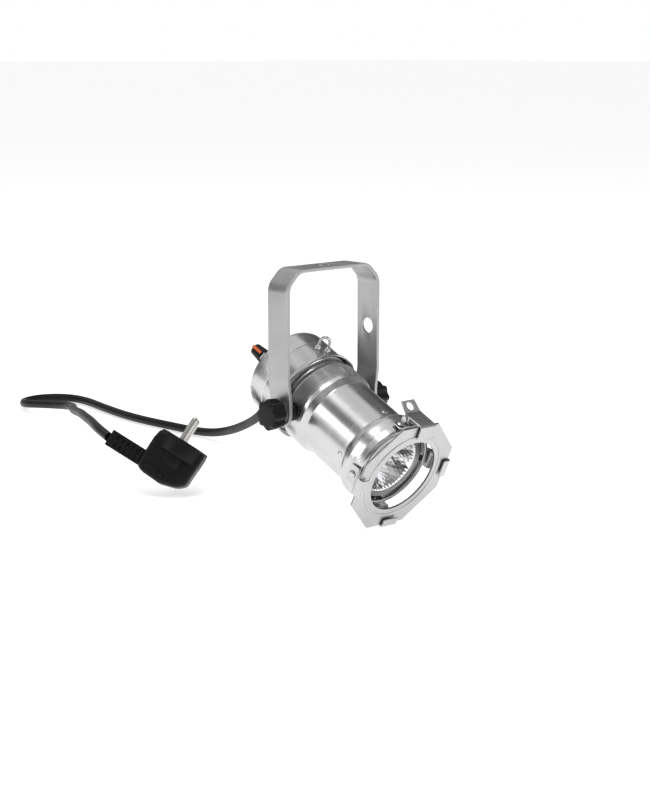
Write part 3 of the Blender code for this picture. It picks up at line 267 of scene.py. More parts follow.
def surface(name, colour, roughness, metallic=0.0, grain=(60, 60, 60), depth=0.00002, spread=0.08,
            shade=0.9, clouds=25, place=WORLD, detail=3.0):
    """A finish with a stretched grain in its height and gloss, and soft clouds in its colour."""
    material = bpy.data.materials.new(name)
    material.use_nodes = True
    nodes, links = material.node_tree.nodes, material.node_tree.links
    shader = nodes["Principled BSDF"]
    shader.inputs["Metallic"].default_value = metallic
    shader.inputs["Specular IOR Level"].default_value = 0.5 if metallic else 0.22
    coordinates = nodes.new("ShaderNodeTexCoord")
    turn = nodes.new("ShaderNodeMapping")
    back = place.inverted()
    turn.inputs["Location"].default_value = back.translation
    turn.inputs["Rotation"].default_value = back.to_euler()
    links.new(coordinates.outputs["Object"], turn.inputs["Vector"])
    stretch = nodes.new("ShaderNodeMapping")
    stretch.inputs["Scale"].default_value = grain
    links.new(turn.outputs["Vector"], stretch.inputs["Vector"])
    lines = nodes.new("ShaderNodeTexNoise")
    lines.inputs["Scale"].default_value = 10
    lines.inputs["Detail"].default_value = detail
    links.new(stretch.outputs["Vector"], lines.inputs["Vector"])
    bump = nodes.new("ShaderNodeBump")
    bump.inputs["Strength"].default_value = 0.5
    bump.inputs["Distance"].default_value = depth
    links.new(lines.outputs["Fac"], bump.inputs["Height"])
    links.new(bump.outputs["Normal"], shader.inputs["Normal"])
    cloud = nodes.new("ShaderNodeTexNoise")
    cloud.inputs["Scale"].default_value = clouds
    cloud.inputs["Detail"].default_value = 4
    links.new(turn.outputs["Vector"], cloud.inputs["Vector"])
    both = nodes.new("ShaderNodeMath")
    both.operation = "ADD"
    links.new(lines.outputs["Fac"], both.inputs[0])
    links.new(cloud.outputs["Fac"], both.inputs[1])
    gloss = nodes.new("ShaderNodeMapRange")
    gloss.inputs["From Min"].default_value = 0.7
    gloss.inputs["From Max"].default_value = 1.3
    gloss.inputs["To Min"].default_value = max(roughness - spread, 0.02)
    gloss.inputs["To Max"].default_value = roughness + spread
    links.new(both.outputs[0], gloss.inputs["Value"])
    links.new(gloss.outputs["Result"], shader.inputs["Roughness"])
    tint = nodes.new("ShaderNodeValToRGB")
    tint.color_ramp.elements[0].position = 0.35
    tint.color_ramp.elements[0].color = (*[c * shade for c in colour], 1)
    tint.color_ramp.elements[1].position = 0.65
    tint.color_ramp.elements[1].color = (*colour, 1)
    links.new(cloud.outputs["Fac"], tint.inputs["Fac"])
    links.new(tint.outputs["Color"], shader.inputs["Base Color"])
    return material


black_pvc = surface("black_pvc", (0.006, 0.006, 0.0065), 0.42, grain=(90, 90, 90), depth=0.00004, shade=0.7)

centreline = smooth_route(ROUTE, 0.0035)
line = [Vector(point) for point in centreline]
bm = bmesh.new()
wire(bm, line, CORD_DIAMETER / 2, CORD_SIDES)
cord = finish(bm, "mains_lead", None, black_pvc, ["cord_drop", "cord_run"])


# Plug -------------------------------------------------------------------------------------------------
# An angled earthed plug moulded in one piece with its slotted strain relief. Two nickel-plated pins
# stand out of its round face, and an earth strip lies in a groove at each end of the face.

PLUG_ORIGIN = Vector((-0.0418, 0.1127, -0.1509))
PLUG_ALONG = Vector((0.521, -0.686, -0.508)).normalized()
PLUG_ACROSS = PLUG_ALONG.cross(Vector((0.555, -0.179, 0.812))).normalized()
PLUG_PINS = PLUG_ACROSS.cross(PLUG_ALONG)
PLUG = Matrix.Translation(PLUG_ORIGIN) @ Matrix((PLUG_ALONG, PLUG_PINS, PLUG_ACROSS)).transposed().to_4x4()


def slab(bm, outline, low, high):
    """An outline in X and Y, given a thickness from low to high along Z."""
    verts = [bm.verts.new((x, y, low)) for x, y in outline]
    face = bm.faces.new(verts)
    grown = bmesh.ops.extrude_face_region(bm, geom=[face])["geom"]
    new_verts = [g for g in grown if isinstance(g, bmesh.types.BMVert)]
    bmesh.ops.translate(bm, verts=new_verts, vec=(0, 0, high - low))
    return verts + new_verts


def soften(bm, verts, width, segments=3, angle=25):
    """Rounds the edges between these corners that are sharper than the angle."""
    inside = set(verts)
    edges = {e for v in verts for e in v.link_edges if e.other_vert(v) in inside}
    edges = [e for e in edges if len(e.link_faces) == 2 and e.calc_face_angle() > math.radians(angle)]
    bmesh.ops.bevel(
        bm, geom=edges, offset=width, segments=segments, profile=0.5, affect="EDGES",
        clamp_overlap=True, material=-1,
    )


def block(bm, centre, size, width=0.0, segments=2, turn=WORLD):
    """A box about its centre, with rounded edges if a width is given."""
    part = bmesh.ops.create_cube(bm, size=1)["verts"]
    bmesh.ops.scale(bm, verts=part, vec=size)
    bmesh.ops.transform(bm, matrix=Matrix.Translation(centre) @ turn, verts=part)
    if width:
        soften(bm, part, width, segments)


grip = [
    (0.0160, 0.0140), (-0.0221, 0.0140), (-0.0235, 0.0060), (-0.0235, -0.0170),
    (-0.0189, -0.0198), (-0.0030, -0.0206), (0.0095, -0.0170), (0.0150, -0.0121),
]
bm = bmesh.new()
part = slab(bm, grip, -0.0129, 0.0129)
bmesh.ops.recalc_face_normals(bm, faces=bm.faces)
soften(bm, part, 0.0028, 4)
on_face = Matrix.Translation((-0.0029, 0.0089, 0)) @ Matrix.Rotation(math.radians(-90), 4, "X")
disc = bmesh.ops.create_cone(
    bm, cap_ends=True, segments=64, radius1=0.0192, radius2=0.0192, depth=0.0124, matrix=on_face
)["verts"]
soften(bm, disc, 0.0010, 3, 60)
for side in (-1, 1):
    block(bm, (-0.0029, 0.004, side * 0.0128), (0.013, 0.020, 0.0022), 0.0009)
    block(bm, (-0.0100, -0.0150, side * 0.0128), (0.0150, 0.0040, 0.0018), 0.0006)
finish(bm, "plug_shell", "bracket", black_pvc, ["plug_body"], PLUG, crease=40)

bm = bmesh.new()
relief_back, relief_front = -0.0519, -0.0239
middle = (relief_back + relief_front) / 2
whole_relief = relief_front - relief_back
block(bm, (middle, -0.0112, 0), (whole_relief, 0.0112, 0.0082), 0.0015)
for height in (-0.0166, -0.0112, -0.0058):
    block(bm, (middle, height, 0), (whole_relief, 0.0018, 0.0109), 0.0005)
for wide, place in ((0.0060, relief_back + 0.0030), (0.0030, relief_front - 0.0015)):
    block(bm, (place, -0.0112, 0), (wide, 0.0126, 0.0110), 0.0008)
for rib in range(4):
    block(bm, (relief_back + 0.0092 + rib * 0.0042, -0.0112, 0), (0.0019, 0.0124, 0.0109), 0.0004)
finish(bm, "plug_strain_relief", "bracket", black_pvc, ["plug_relief"], PLUG)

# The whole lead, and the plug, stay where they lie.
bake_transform(cord)


# Bracket ----------------------------------------------------------------------------------------------
# Flat aluminium bar, cut to length with round ends, drilled, then bent: two 45 degree corners at the
# top and a joggle inwards in each leg above the clamp.

BAR_WIDTH = 0.020
BAR_THICKNESS = 0.0025
BRACKET_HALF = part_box("bracket")[1][0]
CORNER_CUT = 0.011
PIVOT_DROP = -PIVOT.z
JOGGLE = 0.00185
HANGING_HOLE = 0.0055
LEG_HOLE_DROP = 0.046
BEND_STEPS = 6


def rounded(path, radius, steps):
    """An open path in a plane, with its bends turned into arcs."""
    corners = [Vector(point) for point in path]
    result = [corners[0]]
    for before, corner, after in zip(corners, corners[1:], corners[2:]):
        inward = (before - corner).normalized()
        outward = (after - corner).normalized()
        half = inward.angle(outward) / 2
        reach = min(radius / math.tan(half), (before - corner).length / 2, (after - corner).length / 2)
        size = reach * math.tan(half)
        centre = corner + (inward + outward).normalized() * size / math.sin(half)
        start = corner + inward * reach - centre
        end = corner + outward * reach - centre
        result += [centre + start.lerp(end, i / steps).normalized() * size for i in range(steps + 1)]
    return result + [corners[-1]]


def circle_points(radius, centre=(0.0, 0.0), steps=48, start=0.0, sweep=math.tau):
    angles = [start + sweep * i / steps for i in range(steps if abs(sweep) > 6.28 else steps + 1)]
    return [(centre[0] + radius * math.cos(a), centre[1] + radius * math.sin(a)) for a in angles]


brushed = surface(
    "brushed_bar", (0.46, 0.46, 0.465), 0.40, 1.0, grain=(90, 90, 2.5), depth=0.00001, spread=0.07,
    shade=0.90, clouds=45,
)
right_leg = [
    (BRACKET_HALF - CORNER_CUT, 0), (BRACKET_HALF, -CORNER_CUT), (BRACKET_HALF, 0.022 - PIVOT_DROP),
    (BRACKET_HALF - JOGGLE, 0.009 - PIVOT_DROP), (BRACKET_HALF - JOGGLE, -PIVOT_DROP - BAR_WIDTH / 2),
]
spine = rounded(right_leg[::-1] + [(-x, z) for x, z in right_leg], 0.012, BEND_STEPS)
runs = [(b - a).length for a, b in zip(spine, spine[1:])]
stations = [sum(runs[:i]) for i in range(len(runs) + 1)]
whole = stations[-1]
end = BAR_WIDTH / 2
blank = circle_points(end, (end, 0), 24, math.radians(90), math.radians(180))
blank += circle_points(end, (whole - end, 0), 24, math.radians(-90), math.radians(180))
def station_at(x_sign, drop):
    """How far along the bar, from the right leg's end, the outer face is this far below the top."""
    for i, (a, b) in enumerate(zip(spine, spine[1:])):
        if a.x * x_sign > 0 and b.x * x_sign > 0 and min(a.y, b.y) <= -drop <= max(a.y, b.y) and a.y != b.y:
            return stations[i] + runs[i] * (-drop - a.y) / (b.y - a.y)
    return 0.0


holes = [(whole / 2, HANGING_HOLE), (station_at(1, LEG_HOLE_DROP), HANGING_HOLE),
         (end, 0.0033), (whole - end, 0.0033)]
bm = bmesh.new()
loops = [blank] + [circle_points(radius, (centre, 0), 40) for centre, radius in holes]
for points in loops:
    corners = [bm.verts.new((x, y, 0)) for x, y in points]
    for a, b in zip(corners, corners[1:] + corners[:1]):
        bm.edges.new((a, b))
bmesh.ops.triangle_fill(bm, edges=bm.edges[:], use_beauty=True, use_dissolve=False)
for station in stations[1:-1]:
    geometry = bm.verts[:] + bm.edges[:] + bm.faces[:]
    bmesh.ops.bisect_plane(bm, geom=geometry, dist=1e-7, plane_co=(station, 0, 0), plane_no=(1, 0, 0))
bmesh.ops.recalc_face_normals(bm, faces=bm.faces)


def bent(along, across):
    """Where a point of the flat blank ends up on the bent bar."""
    i = min(max(np.searchsorted(stations, along) - 1, 0), len(runs) - 1)
    a, b = spine[i], spine[i + 1]
    along_run = (b - a).normalized()
    place = a + along_run * (along - stations[i])
    return Vector((place.x, across, place.y))


for vert in bm.verts:
    vert.co = bent(vert.co.x, vert.co.y)
bmesh.ops.remove_doubles(bm, verts=bm.verts, dist=1e-6)
bm.normal_update()
top_face = max(bm.faces, key=lambda face: face.calc_center_median().z)
if top_face.normal.z < 0:
    bmesh.ops.reverse_faces(bm, faces=bm.faces)
bracket = finish(bm, "hanging_bracket", "bracket", brushed, ["bracket"], crease=30)
wall = bracket.modifiers.new("bar", "SOLIDIFY")
wall.thickness = BAR_THICKNESS
wall.offset = -1
wall.use_even_offset = True
edge = bracket.modifiers.new("edge", "BEVEL")
edge.width = 0.0004
edge.segments = 2
edge.limit_method = "ANGLE"
edge.angle_limit = math.radians(60)


# Can --------------------------------------------------------------------------------------------------
# Spun from 1 mm aluminium and polished. A collar stands where the bracket clamps it, a bead stands
# behind the rolled mouth, and four lanced tongues behind the bead centre the lamp.

SHEET = 0.001
SPIN_STEPS = 128


def spun(bm, profile, steps=SPIN_STEPS):
    """Spins an open profile of (radius, position) points once round the beam axis."""
    verts = [bm.verts.new((radius, 0, position)) for radius, position in profile]
    edges = [bm.edges.new(pair) for pair in zip(verts, verts[1:])]
    bmesh.ops.spin(
        bm, geom=verts + edges, cent=(0, 0, 0), axis=(0, 0, 1), dvec=(0, 0, 0), angle=math.tau,
        steps=steps, use_merge=True, use_duplicate=False,
    )
    bmesh.ops.remove_doubles(bm, verts=bm.verts, dist=1e-6)
    bmesh.ops.recalc_face_normals(bm, faces=bm.faces)


def sheet_profile(path, thickness):
    """A closed profile: the path, then the same path offset inwards by the sheet's thickness."""
    points = [Vector(point) for point in path]
    directions = [(b - a).normalized() for a, b in zip(points, points[1:])]
    normals = [Vector((d.y, -d.x)) for d in directions]
    inner = [points[0] + normals[0] * thickness]
    for point, before, after in zip(points[1:-1], normals, normals[1:]):
        middle = (before + after).normalized()
        inner.append(point + middle * thickness / middle.dot(before))
    inner.append(points[-1] + normals[-1] * thickness)
    return points + inner[::-1] + [points[0]]


polished = surface(
    "polished_sheet", (0.60, 0.60, 0.605), 0.24, 1.0, grain=(4, 4, 160), depth=0.000002, spread=0.06,
    shade=0.93, clouds=30, place=CAN,
)
mouth = 0.0760
can_profile = [
    (0.0276, mouth - 0.0006), (0.0286, mouth), (0.0300, mouth - 0.0002), (0.0307, mouth - 0.0014),
    (0.0313, mouth - 0.0030), (0.0320, mouth - 0.0070), (0.0321, mouth - 0.0100),
    (0.0324, mouth - 0.0135), (0.0322, mouth - 0.0162), (0.0312, mouth - 0.0184),
    (0.0294, mouth - 0.0196), (0.0295, mouth - 0.0222), (0.0295, 0.0165), (0.0306, 0.0140),
    (0.0316, 0.0118), (0.0320, 0.0090), (0.0320, -0.0040), (0.0314, -0.0060), (0.0301, -0.0068),
    (0.0300, -0.0088), (0.0306, -0.0096), (0.0300, -0.0106), (0.0300, -0.0120), (0.0316, -0.0135),
    (0.0316, -0.0210),
]
bm = bmesh.new()
spun(bm, sheet_profile(rounded(can_profile, 0.0016, 3), SHEET))
for quarter in range(4):
    angle = math.radians(90 * quarter)
    place = Matrix.Rotation(angle, 4, "Z") @ Matrix.Translation((0.0294, 0, 0.0520))
    bump = bmesh.ops.create_uvsphere(bm, u_segments=24, v_segments=12, radius=0.0021)["verts"]
    bmesh.ops.scale(bm, verts=bump, vec=(0.42, 1.15, 0.85))
    bmesh.ops.transform(bm, matrix=place, verts=bump)
finish(bm, "spun_can", "can", polished, ["can_body"], CAN, crease=50)


# Rear cap ---------------------------------------------------------------------------------------------
# A pressed cup that closes the back of the can, polished like it, with a flared lip, a crease round
# its middle, and pressed lines where the blank was joined. Two screws hold it.

CAP_RADIUS = 0.0330
CAP_BACK = -0.0460
cap_profile = [
    (0.0347, -0.0103), (0.0347, -0.0114), (0.0340, -0.0128), (0.0330, -0.0142), (0.0330, -0.0286),
    (0.0327, -0.0290), (0.0330, -0.0294), (0.0330, -0.0415), (0.0316, -0.0447), (0.0285, CAP_BACK),
    (0.0240, CAP_BACK), (0.0236, CAP_BACK + 0.0003), (0.0232, CAP_BACK), (0.0, CAP_BACK),
]
bm = bmesh.new()
spun(bm, rounded(cap_profile, 0.0012, 3))
bmesh.ops.solidify(bm, geom=bm.faces[:], thickness=SHEET)
bmesh.ops.recalc_face_normals(bm, faces=bm.faces)
finish(bm, "pressed_cap", "can", polished, ["rear_cap"], CAN, crease=50)


# Safety eye -------------------------------------------------------------------------------------------
# A plated wire loop for the safety cord. Its two legs pass through the cap and end in rounded collars.

plated = surface("plated_steel", (0.62, 0.62, 0.63), 0.20, 1.0, depth=0.000001, spread=0.05, shade=0.85)
EYE_PLACE = -0.019
EYE_TURN = math.radians(45)
EYE_HALF = 0.0034
EYE_WIRE = 0.0011
across = Vector((math.cos(EYE_TURN), 0, math.sin(EYE_TURN)))
crown = 0.0330 + 0.0118 - EYE_HALF - EYE_WIRE
arch = [(EYE_HALF, 0.0323), (EYE_HALF, crown - 0.003)]
arch += circle_points(EYE_HALF, (0, crown), 16, 0, math.pi)
arch += [(-EYE_HALF, crown - 0.003), (-EYE_HALF, 0.0323)]
wire_line = [across * x + Vector((0, y, EYE_PLACE)) for x, y in arch]
bm = bmesh.new()
wire(bm, wire_line, EYE_WIRE)
for sign in (-1, 1):
    foot = across * sign * EYE_HALF + Vector((0, CAP_RADIUS + 0.0012, EYE_PLACE))
    collar = bmesh.ops.create_uvsphere(bm, u_segments=20, v_segments=12, radius=0.0023)["verts"]
    bmesh.ops.scale(bm, verts=collar, vec=(1, 1.15, 1))
    bmesh.ops.translate(bm, verts=collar, vec=foot)
finish(bm, "safety_loop", "can", plated, ["safety_eye"], CAN)


# Clips and rivets -------------------------------------------------------------------------------------
# Three bent strips of sheet, each held to the bead by one rivet. They flare out behind the filter
# frame, pass its edge and turn in over its front.

FRAME_FRONT = 0.0858
FRAME_HALF = 0.0401
STRIP = 0.001
CLIP_WIDTH = 0.0126
clip_sheet = surface(
    "bright_strip", (0.58, 0.58, 0.585), 0.28, 1.0, grain=(30, 30, 120), depth=0.000006, spread=0.07,
    shade=0.88, clouds=60, place=CAN,
)
clip_path = [
    (0.0675, 0.0327), (0.0762, 0.0327), (0.0829, 0.0404), (0.0870, 0.0404), (0.0870, 0.0352),
]


def strip_outline(path, thickness, radius=0.0008):
    """The edge-on outline of a strip lying on the left of its path, with rounded bends."""
    points = rounded(path, radius, 3)
    directions = [(b - a).normalized() for a, b in zip(points, points[1:])]
    normals = [Vector((-d.y, d.x)) for d in directions]
    outer = [points[0] + normals[0] * thickness]
    for point, before, after in zip(points[1:-1], normals, normals[1:]):
        middle = (before + after).normalized()
        outer.append(point + middle * thickness / middle.dot(before))
    outer.append(points[-1] + normals[-1] * thickness)
    return [tuple(point) for point in points + outer[::-1]]


for name, degrees, offset in (("left", 180, 0.0018), ("right", 0, 0.0005), ("bottom", 270, 0.0025)):
    angle = math.radians(degrees)
    outward = Vector((math.cos(angle), math.sin(angle), 0))
    sideways = Vector((-math.sin(angle), math.cos(angle), 0))
    bm = bmesh.new()
    part = slab(bm, strip_outline(clip_path, STRIP), -CLIP_WIDTH / 2, CLIP_WIDTH / 2)
    bmesh.ops.recalc_face_normals(bm, faces=bm.faces)
    flat = Vector((0, 0, 1)).cross(outward)
    place = Matrix((Vector((0, 0, 1)), outward, flat)).transposed().to_4x4()
    place.translation = sideways * offset
    clip = finish(bm, f"frame_clip_{name}", "can", clip_sheet, [f"clip_{name}"], CAN @ place)
    worn = clip.modifiers.new("edge", "BEVEL")
    worn.width = 0.00025
    worn.segments = 2
    worn.limit_method = "ANGLE"
    worn.angle_limit = math.radians(50)


# Filter frame -----------------------------------------------------------------------------------------
# Two octagonal sheets folded together, with a slot between them for the filter. A near-black sheet
# in the slot is painted shade, so their edge looks dark. A pressed ring stiffens the front round the
# opening.

frame_sheet = surface(
    "frame_sheet", (0.56, 0.56, 0.565), 0.34, 1.0, grain=(120, 6, 6), depth=0.000006, spread=0.08,
    shade=0.90, clouds=40, place=CAN,
)
OPENING = 0.0274
BEAD = 0.032


def octagon_sheet(bm, low, high, flats, opening):
    """An octagonal sheet with a round opening, between two positions on the beam axis."""
    corner = flats / math.cos(math.radians(22.5))
    outline = circle_points(corner, steps=8, start=math.radians(22.5))
    for points in (outline, circle_points(opening, steps=96)):
        corners = [bm.verts.new((x, y, low)) for x, y in points]
        for a, b in zip(corners, corners[1:] + corners[:1]):
            bm.edges.new((a, b))
    fresh = [e for e in bm.edges if not e.link_faces]
    made = bmesh.ops.triangle_fill(bm, edges=fresh, use_beauty=True)["geom"]
    sheet = [g for g in made if isinstance(g, bmesh.types.BMFace)]
    grown = bmesh.ops.extrude_face_region(bm, geom=sheet)["geom"]
    moved = [g for g in grown if isinstance(g, bmesh.types.BMVert)]
    bmesh.ops.translate(bm, verts=moved, vec=(0, 0, high - low))


bm = bmesh.new()
octagon_sheet(bm, FRAME_FRONT - 0.0006, FRAME_FRONT, FRAME_HALF, OPENING)
bmesh.ops.recalc_face_normals(bm, faces=bm.faces)
ridge = bmesh.new()
section = [(BEAD + 0.0011, FRAME_FRONT - 0.0002)]
for turn in np.linspace(0.1, math.pi - 0.1, 9):
    section.append((BEAD + 0.0011 * math.cos(turn), FRAME_FRONT + 0.0007 * math.sin(turn)))
section += [(BEAD - 0.0011, FRAME_FRONT - 0.0002), (BEAD + 0.0011, FRAME_FRONT - 0.0002)]
spun(ridge, section)
ridge_mesh = bpy.data.meshes.new("ridge")
ridge.to_mesh(ridge_mesh)
ridge.free()
bm.from_mesh(ridge_mesh)
bpy.data.meshes.remove(ridge_mesh)
finish(bm, "filter_frame_front", "can", frame_sheet, ["filter_frame"], CAN, crease=40)
bm = bmesh.new()
octagon_sheet(bm, FRAME_FRONT - 0.0016, FRAME_FRONT - 0.0011, FRAME_HALF, OPENING)
bmesh.ops.recalc_face_normals(bm, faces=bm.faces)
finish(bm, "filter_frame_back", "can", frame_sheet, [], CAN, crease=40)
# Painted shade: a near-black sheet between the two frame sheets darkens the filter slot; it is no part.
dark_slot = surface("slot_shadow", (0.02, 0.02, 0.02), 0.7)
bm = bmesh.new()
octagon_sheet(bm, FRAME_FRONT - 0.0011, FRAME_FRONT - 0.0006, FRAME_HALF - 0.0003, OPENING + 0.0003)
bmesh.ops.recalc_face_normals(bm, faces=bm.faces)
finish(bm, "filter_frame_slot_shadow", "can", dark_slot, [], CAN, crease=40)


# Latch ------------------------------------------------------------------------------------------------
# A hooked strip that keeps the frame in. It turns on a pin between the ears of a riveted base, and a
# drilled tab behind is pushed down to open it.

LATCH_X = 0.0046
LATCH_HALF = 0.007
LATCH_PIN = 0.0722
LATCH_UNDER = 0.0404
LATCH_HOOK = 0.009
knee = Vector((LATCH_PIN - 0.0017, LATCH_UNDER))
hook = FRAME_FRONT + 0.0012
bm = bmesh.new()
hook_path = [tuple(knee), (hook, LATCH_UNDER), (hook, LATCH_UNDER - LATCH_HOOK)]
part = slab(bm, strip_outline(hook_path, STRIP), -LATCH_HALF, LATCH_HALF)
tongue = [(0.0, -LATCH_HALF), (0.0, LATCH_HALF)]
tongue += [(0.0092, LATCH_HALF - 0.0010), (0.0092, -LATCH_HALF + 0.0010)]
for points in (tongue, circle_points(0.003, (0.0048, 0), 32)):
    corners = [bm.verts.new((x, LATCH_UNDER + 0.02, y)) for x, y in points]
    for a, b in zip(corners, corners[1:] + corners[:1]):
        bm.edges.new((a, b))
fresh = [e for e in bm.edges if not e.link_faces]
made = bmesh.ops.triangle_fill(bm, edges=fresh, use_beauty=True)["geom"]
sheet = [g for g in made if isinstance(g, bmesh.types.BMFace)]
grown = bmesh.ops.extrude_face_region(bm, geom=sheet)["geom"]
moved = [g for g in grown if isinstance(g, bmesh.types.BMVert)]
bmesh.ops.translate(bm, verts=moved, vec=(0, STRIP, 0))
tongue_verts = {v for v in bm.verts if v.co.y > LATCH_UNDER + 0.01}
lean = Matrix.Translation((knee.x, knee.y, 0)) @ Matrix.Rotation(math.radians(150), 4, "Z")
bmesh.ops.transform(
    bm, matrix=lean @ Matrix.Translation((0, -LATCH_UNDER - 0.02 - STRIP, 0)), verts=list(tongue_verts)
)
for side in (-1, 1):
    centre = (LATCH_PIN + 0.0007, LATCH_UNDER - 0.0018, side * (LATCH_HALF - STRIP / 2))
    block(bm, centre, (0.0046, 0.0056, STRIP), 0.0003)
bmesh.ops.recalc_face_normals(bm, faces=bm.faces)
across_can = Matrix(((0, 0, 1, LATCH_X), (0, 1, 0, 0), (1, 0, 0, 0), (0, 0, 0, 1)))
bmesh.ops.transform(bm, matrix=across_can, verts=bm.verts)
bmesh.ops.recalc_face_normals(bm, faces=bm.faces)
latch = finish(bm, "frame_latch", "latch", clip_sheet, ["latch"], CAN)
worn = latch.modifiers.new("edge", "BEVEL")
worn.width = 0.0002
worn.segments = 2
worn.limit_method = "ANGLE"
worn.angle_limit = math.radians(50)


# Clamp knobs ------------------------------------------------------------------------------------------
# Black moulded nylon with eight finger lobes and a domed face, screwed onto the pivot bolts to hold
# the tilt.

KNOB_RADIUS = 0.011
KNOB_LENGTH = 0.011
LOBES = 8
LOBE_DEPTH = 0.0017
nylon = surface("black_nylon", (0.006, 0.006, 0.0065), 0.45, grain=(120, 120, 120), depth=0.00003, shade=0.75)

for name, sign in (("left", -1), ("right", 1)):
    low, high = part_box(f"clamp_knob_{name}")
    inner = min(abs(low[0]), abs(high[0]))
    bm = bmesh.new()
    rings = []
    for reach, scale, wave in (
        (0.0, 0.86, 0.2), (0.0006, 0.93, 0.6), (0.0014, 0.97, 1.0), (0.0086, 1.0, 1.0),
        (0.0096, 0.965, 1.0), (0.0103, 0.90, 0.8), (0.0107, 0.80, 0.5), (0.0109, 0.62, 0.2),
        (KNOB_LENGTH, 0.30, 0.0),
    ):
        ring_verts = []
        for i in range(96):
            a = math.tau * i / 96
            lobe = LOBE_DEPTH * wave * (0.5 - 0.5 * math.cos(LOBES * a)) * 1.15
            radius = (KNOB_RADIUS - lobe) * scale
            ring_verts.append(bm.verts.new((reach, radius * math.cos(a), radius * math.sin(a))))
        rings.append(ring_verts)
    for a, b in zip(rings, rings[1:]):
        for i in range(96):
            bm.faces.new((a[i], a[(i + 1) % 96], b[(i + 1) % 96], b[i]))
    bm.faces.new(rings[0])
    bm.faces.new(rings[-1])
    bmesh.ops.recalc_face_normals(bm, faces=bm.faces)
    place = Matrix.Translation((sign * inner, 0, PIVOT.z)) @ Matrix.Scale(sign, 4, (1, 0, 0))
    if sign < 0:
        bmesh.ops.reverse_faces(bm, faces=bm.faces)
    finish(bm, f"lobed_knob_{name}", f"knob_{name}", nylon, [f"clamp_knob_{name}"], place)


# Lamp -------------------------------------------------------------------------------------------------
# A 50 mm reflector lamp in the can's mouth. Its bowl is pressed in small square facets with a bright
# coat, and a dull metal bezel holds it in the housing.

LAMP_FRONT = 0.074
BOWL_RADIUS = 0.0209
BOWL_NECK = 0.0064
BOWL_BACK = 0.0514
FACETS = 48
mirror = surface("mirror_coat", (0.86, 0.86, 0.87), 0.10, 1.0, depth=0.000003, spread=0.04, shade=0.94)
bezel_metal = surface(
    "bezel_metal", (0.42, 0.42, 0.425), 0.34, 1.0, grain=(10, 10, 200), depth=0.000005, spread=0.06,
    shade=0.88, place=CAN,
)
bm = bmesh.new()
rows = 13
grid = []
for row in range(rows + 1):
    t = row / rows
    radius = BOWL_NECK + (BOWL_RADIUS - BOWL_NECK) * t
    position = BOWL_BACK + (LAMP_FRONT - 0.0006 - BOWL_BACK) * t**1.8
    turn = (row % 2) * math.pi / FACETS
    grid.append([
        bm.verts.new((radius * math.cos(a + turn), radius * math.sin(a + turn), position))
        for a in [math.tau * i / FACETS for i in range(FACETS)]
    ])
for row, (a, b) in enumerate(zip(grid, grid[1:])):
    for i in range(FACETS):
        j = (i + 1) % FACETS
        if row % 2:
            bm.faces.new((a[i], b[i], b[j]))
            bm.faces.new((a[i], b[j], a[j]))
        else:
            bm.faces.new((a[i], b[i], a[j]))
            bm.faces.new((b[i], b[j], a[j]))
bmesh.ops.recalc_face_normals(bm, faces=bm.faces)
inward = next(iter(bm.faces))
if inward.normal.dot(Vector((inward.calc_center_median().x, inward.calc_center_median().y, 0))) > 0:
    bmesh.ops.reverse_faces(bm, faces=bm.faces)
bowl = finish(bm, "faceted_bowl", "can", mirror, ["lamp_reflector"], CAN, crease=2)
shell = bowl.modifiers.new("glass", "SOLIDIFY")
shell.thickness = 0.0006
shell.offset = -1

bm = bmesh.new()
spun(bm, [
    (0.0210, LAMP_FRONT - 0.0022), (0.0211, LAMP_FRONT - 0.0004), (0.0214, LAMP_FRONT),
    (0.0247, LAMP_FRONT), (0.0251, LAMP_FRONT - 0.0004), (0.0252, LAMP_FRONT - 0.0022),
    (0.0210, LAMP_FRONT - 0.0022),
])
finish(bm, "lamp_rim", "can", bezel_metal, ["lamp_bezel"], CAN)


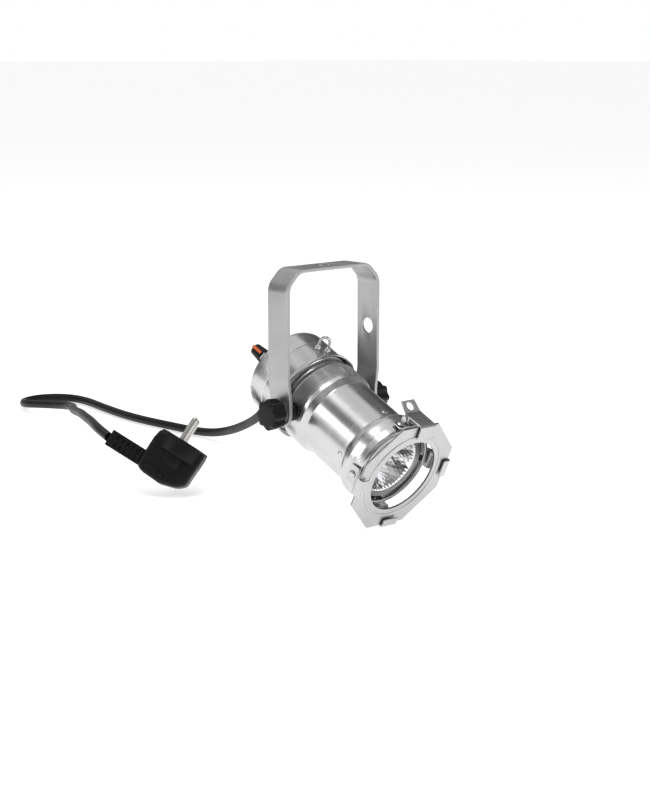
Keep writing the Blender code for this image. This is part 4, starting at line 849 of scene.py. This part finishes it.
# Dimmer knob ------------------------------------------------------------------------------------------
# A black tapered knob on the dimmer's shaft behind the cap, with an orange pointer line down one side.

DIMMER_PLACE = (-0.0215, 0.0115)
bm = bmesh.new()
knob_front = CAP_BACK - 0.0017 - 0.0006
spun(bm, [
    (0.0, knob_front - 0.0110), (0.0036, knob_front - 0.0110), (0.00415, knob_front - 0.0107),
    (0.00425, knob_front - 0.0102), (0.00520, knob_front - 0.0008), (0.00525, knob_front - 0.0003),
    (0.0050, knob_front), (0.0, knob_front),
], 48)
turning = CAN @ Matrix.Translation((*DIMMER_PLACE, 0))
finish(bm, "dimmer_grip", "dimmer", nylon, ["dimmer_knob"], turning)
orange = surface("orange_paint", (0.75, 0.16, 0.045), 0.45, shade=0.85)
bm = bmesh.new()
block(bm, (-0.0045, 0, knob_front - 0.0056), (0.0012, 0.0021, 0.0108), 0.0002)
pointing = turning @ Matrix.Rotation(math.radians(-42), 4, "Z")
finish(bm, "dimmer_pointer", "dimmer", orange, [], pointing)


# Small fittings ---------------------------------------------------------------------------------------
# Screws, rivets, spacers, the gland and the parts inside the can keep their plain shapes. Each takes
# the finish of its material: plated steel, cast aluminium, copper, nickel, black or board green.

cast = surface("cast_aluminium", (0.58, 0.58, 0.585), 0.42, 1.0, depth=0.00003, shade=0.8)
nickel = surface("nickel", (0.60, 0.59, 0.57), 0.26, 1.0, depth=0.000001, spread=0.05, shade=0.9)
copper = surface("copper", (0.80, 0.42, 0.26), 0.35, 1.0, shade=0.8)
board = surface("board_green", (0.02, 0.12, 0.05), 0.45, shade=0.7)
phosphor = surface("phosphor", (0.85, 0.72, 0.18), 0.55, shade=0.9)
finishes = {
    "polished": clip_sheet, "brushed": brushed, "steel": plated, "cast": cast, "mirror_bowl": mirror,
    "phosphor": phosphor, "black": nylon, "pvc": black_pvc, "knob_orange": orange, "board": board,
    "nickel": nickel, "copper": copper,
}
slots = {part["node"]: part["material_slot"] for part in frame["record"]["subparts"]}
for name, node in frame["nodes"].items():
    chosen = finishes.get(slots.get(name), cast)
    for place in node.material_slots:
        place.material = chosen
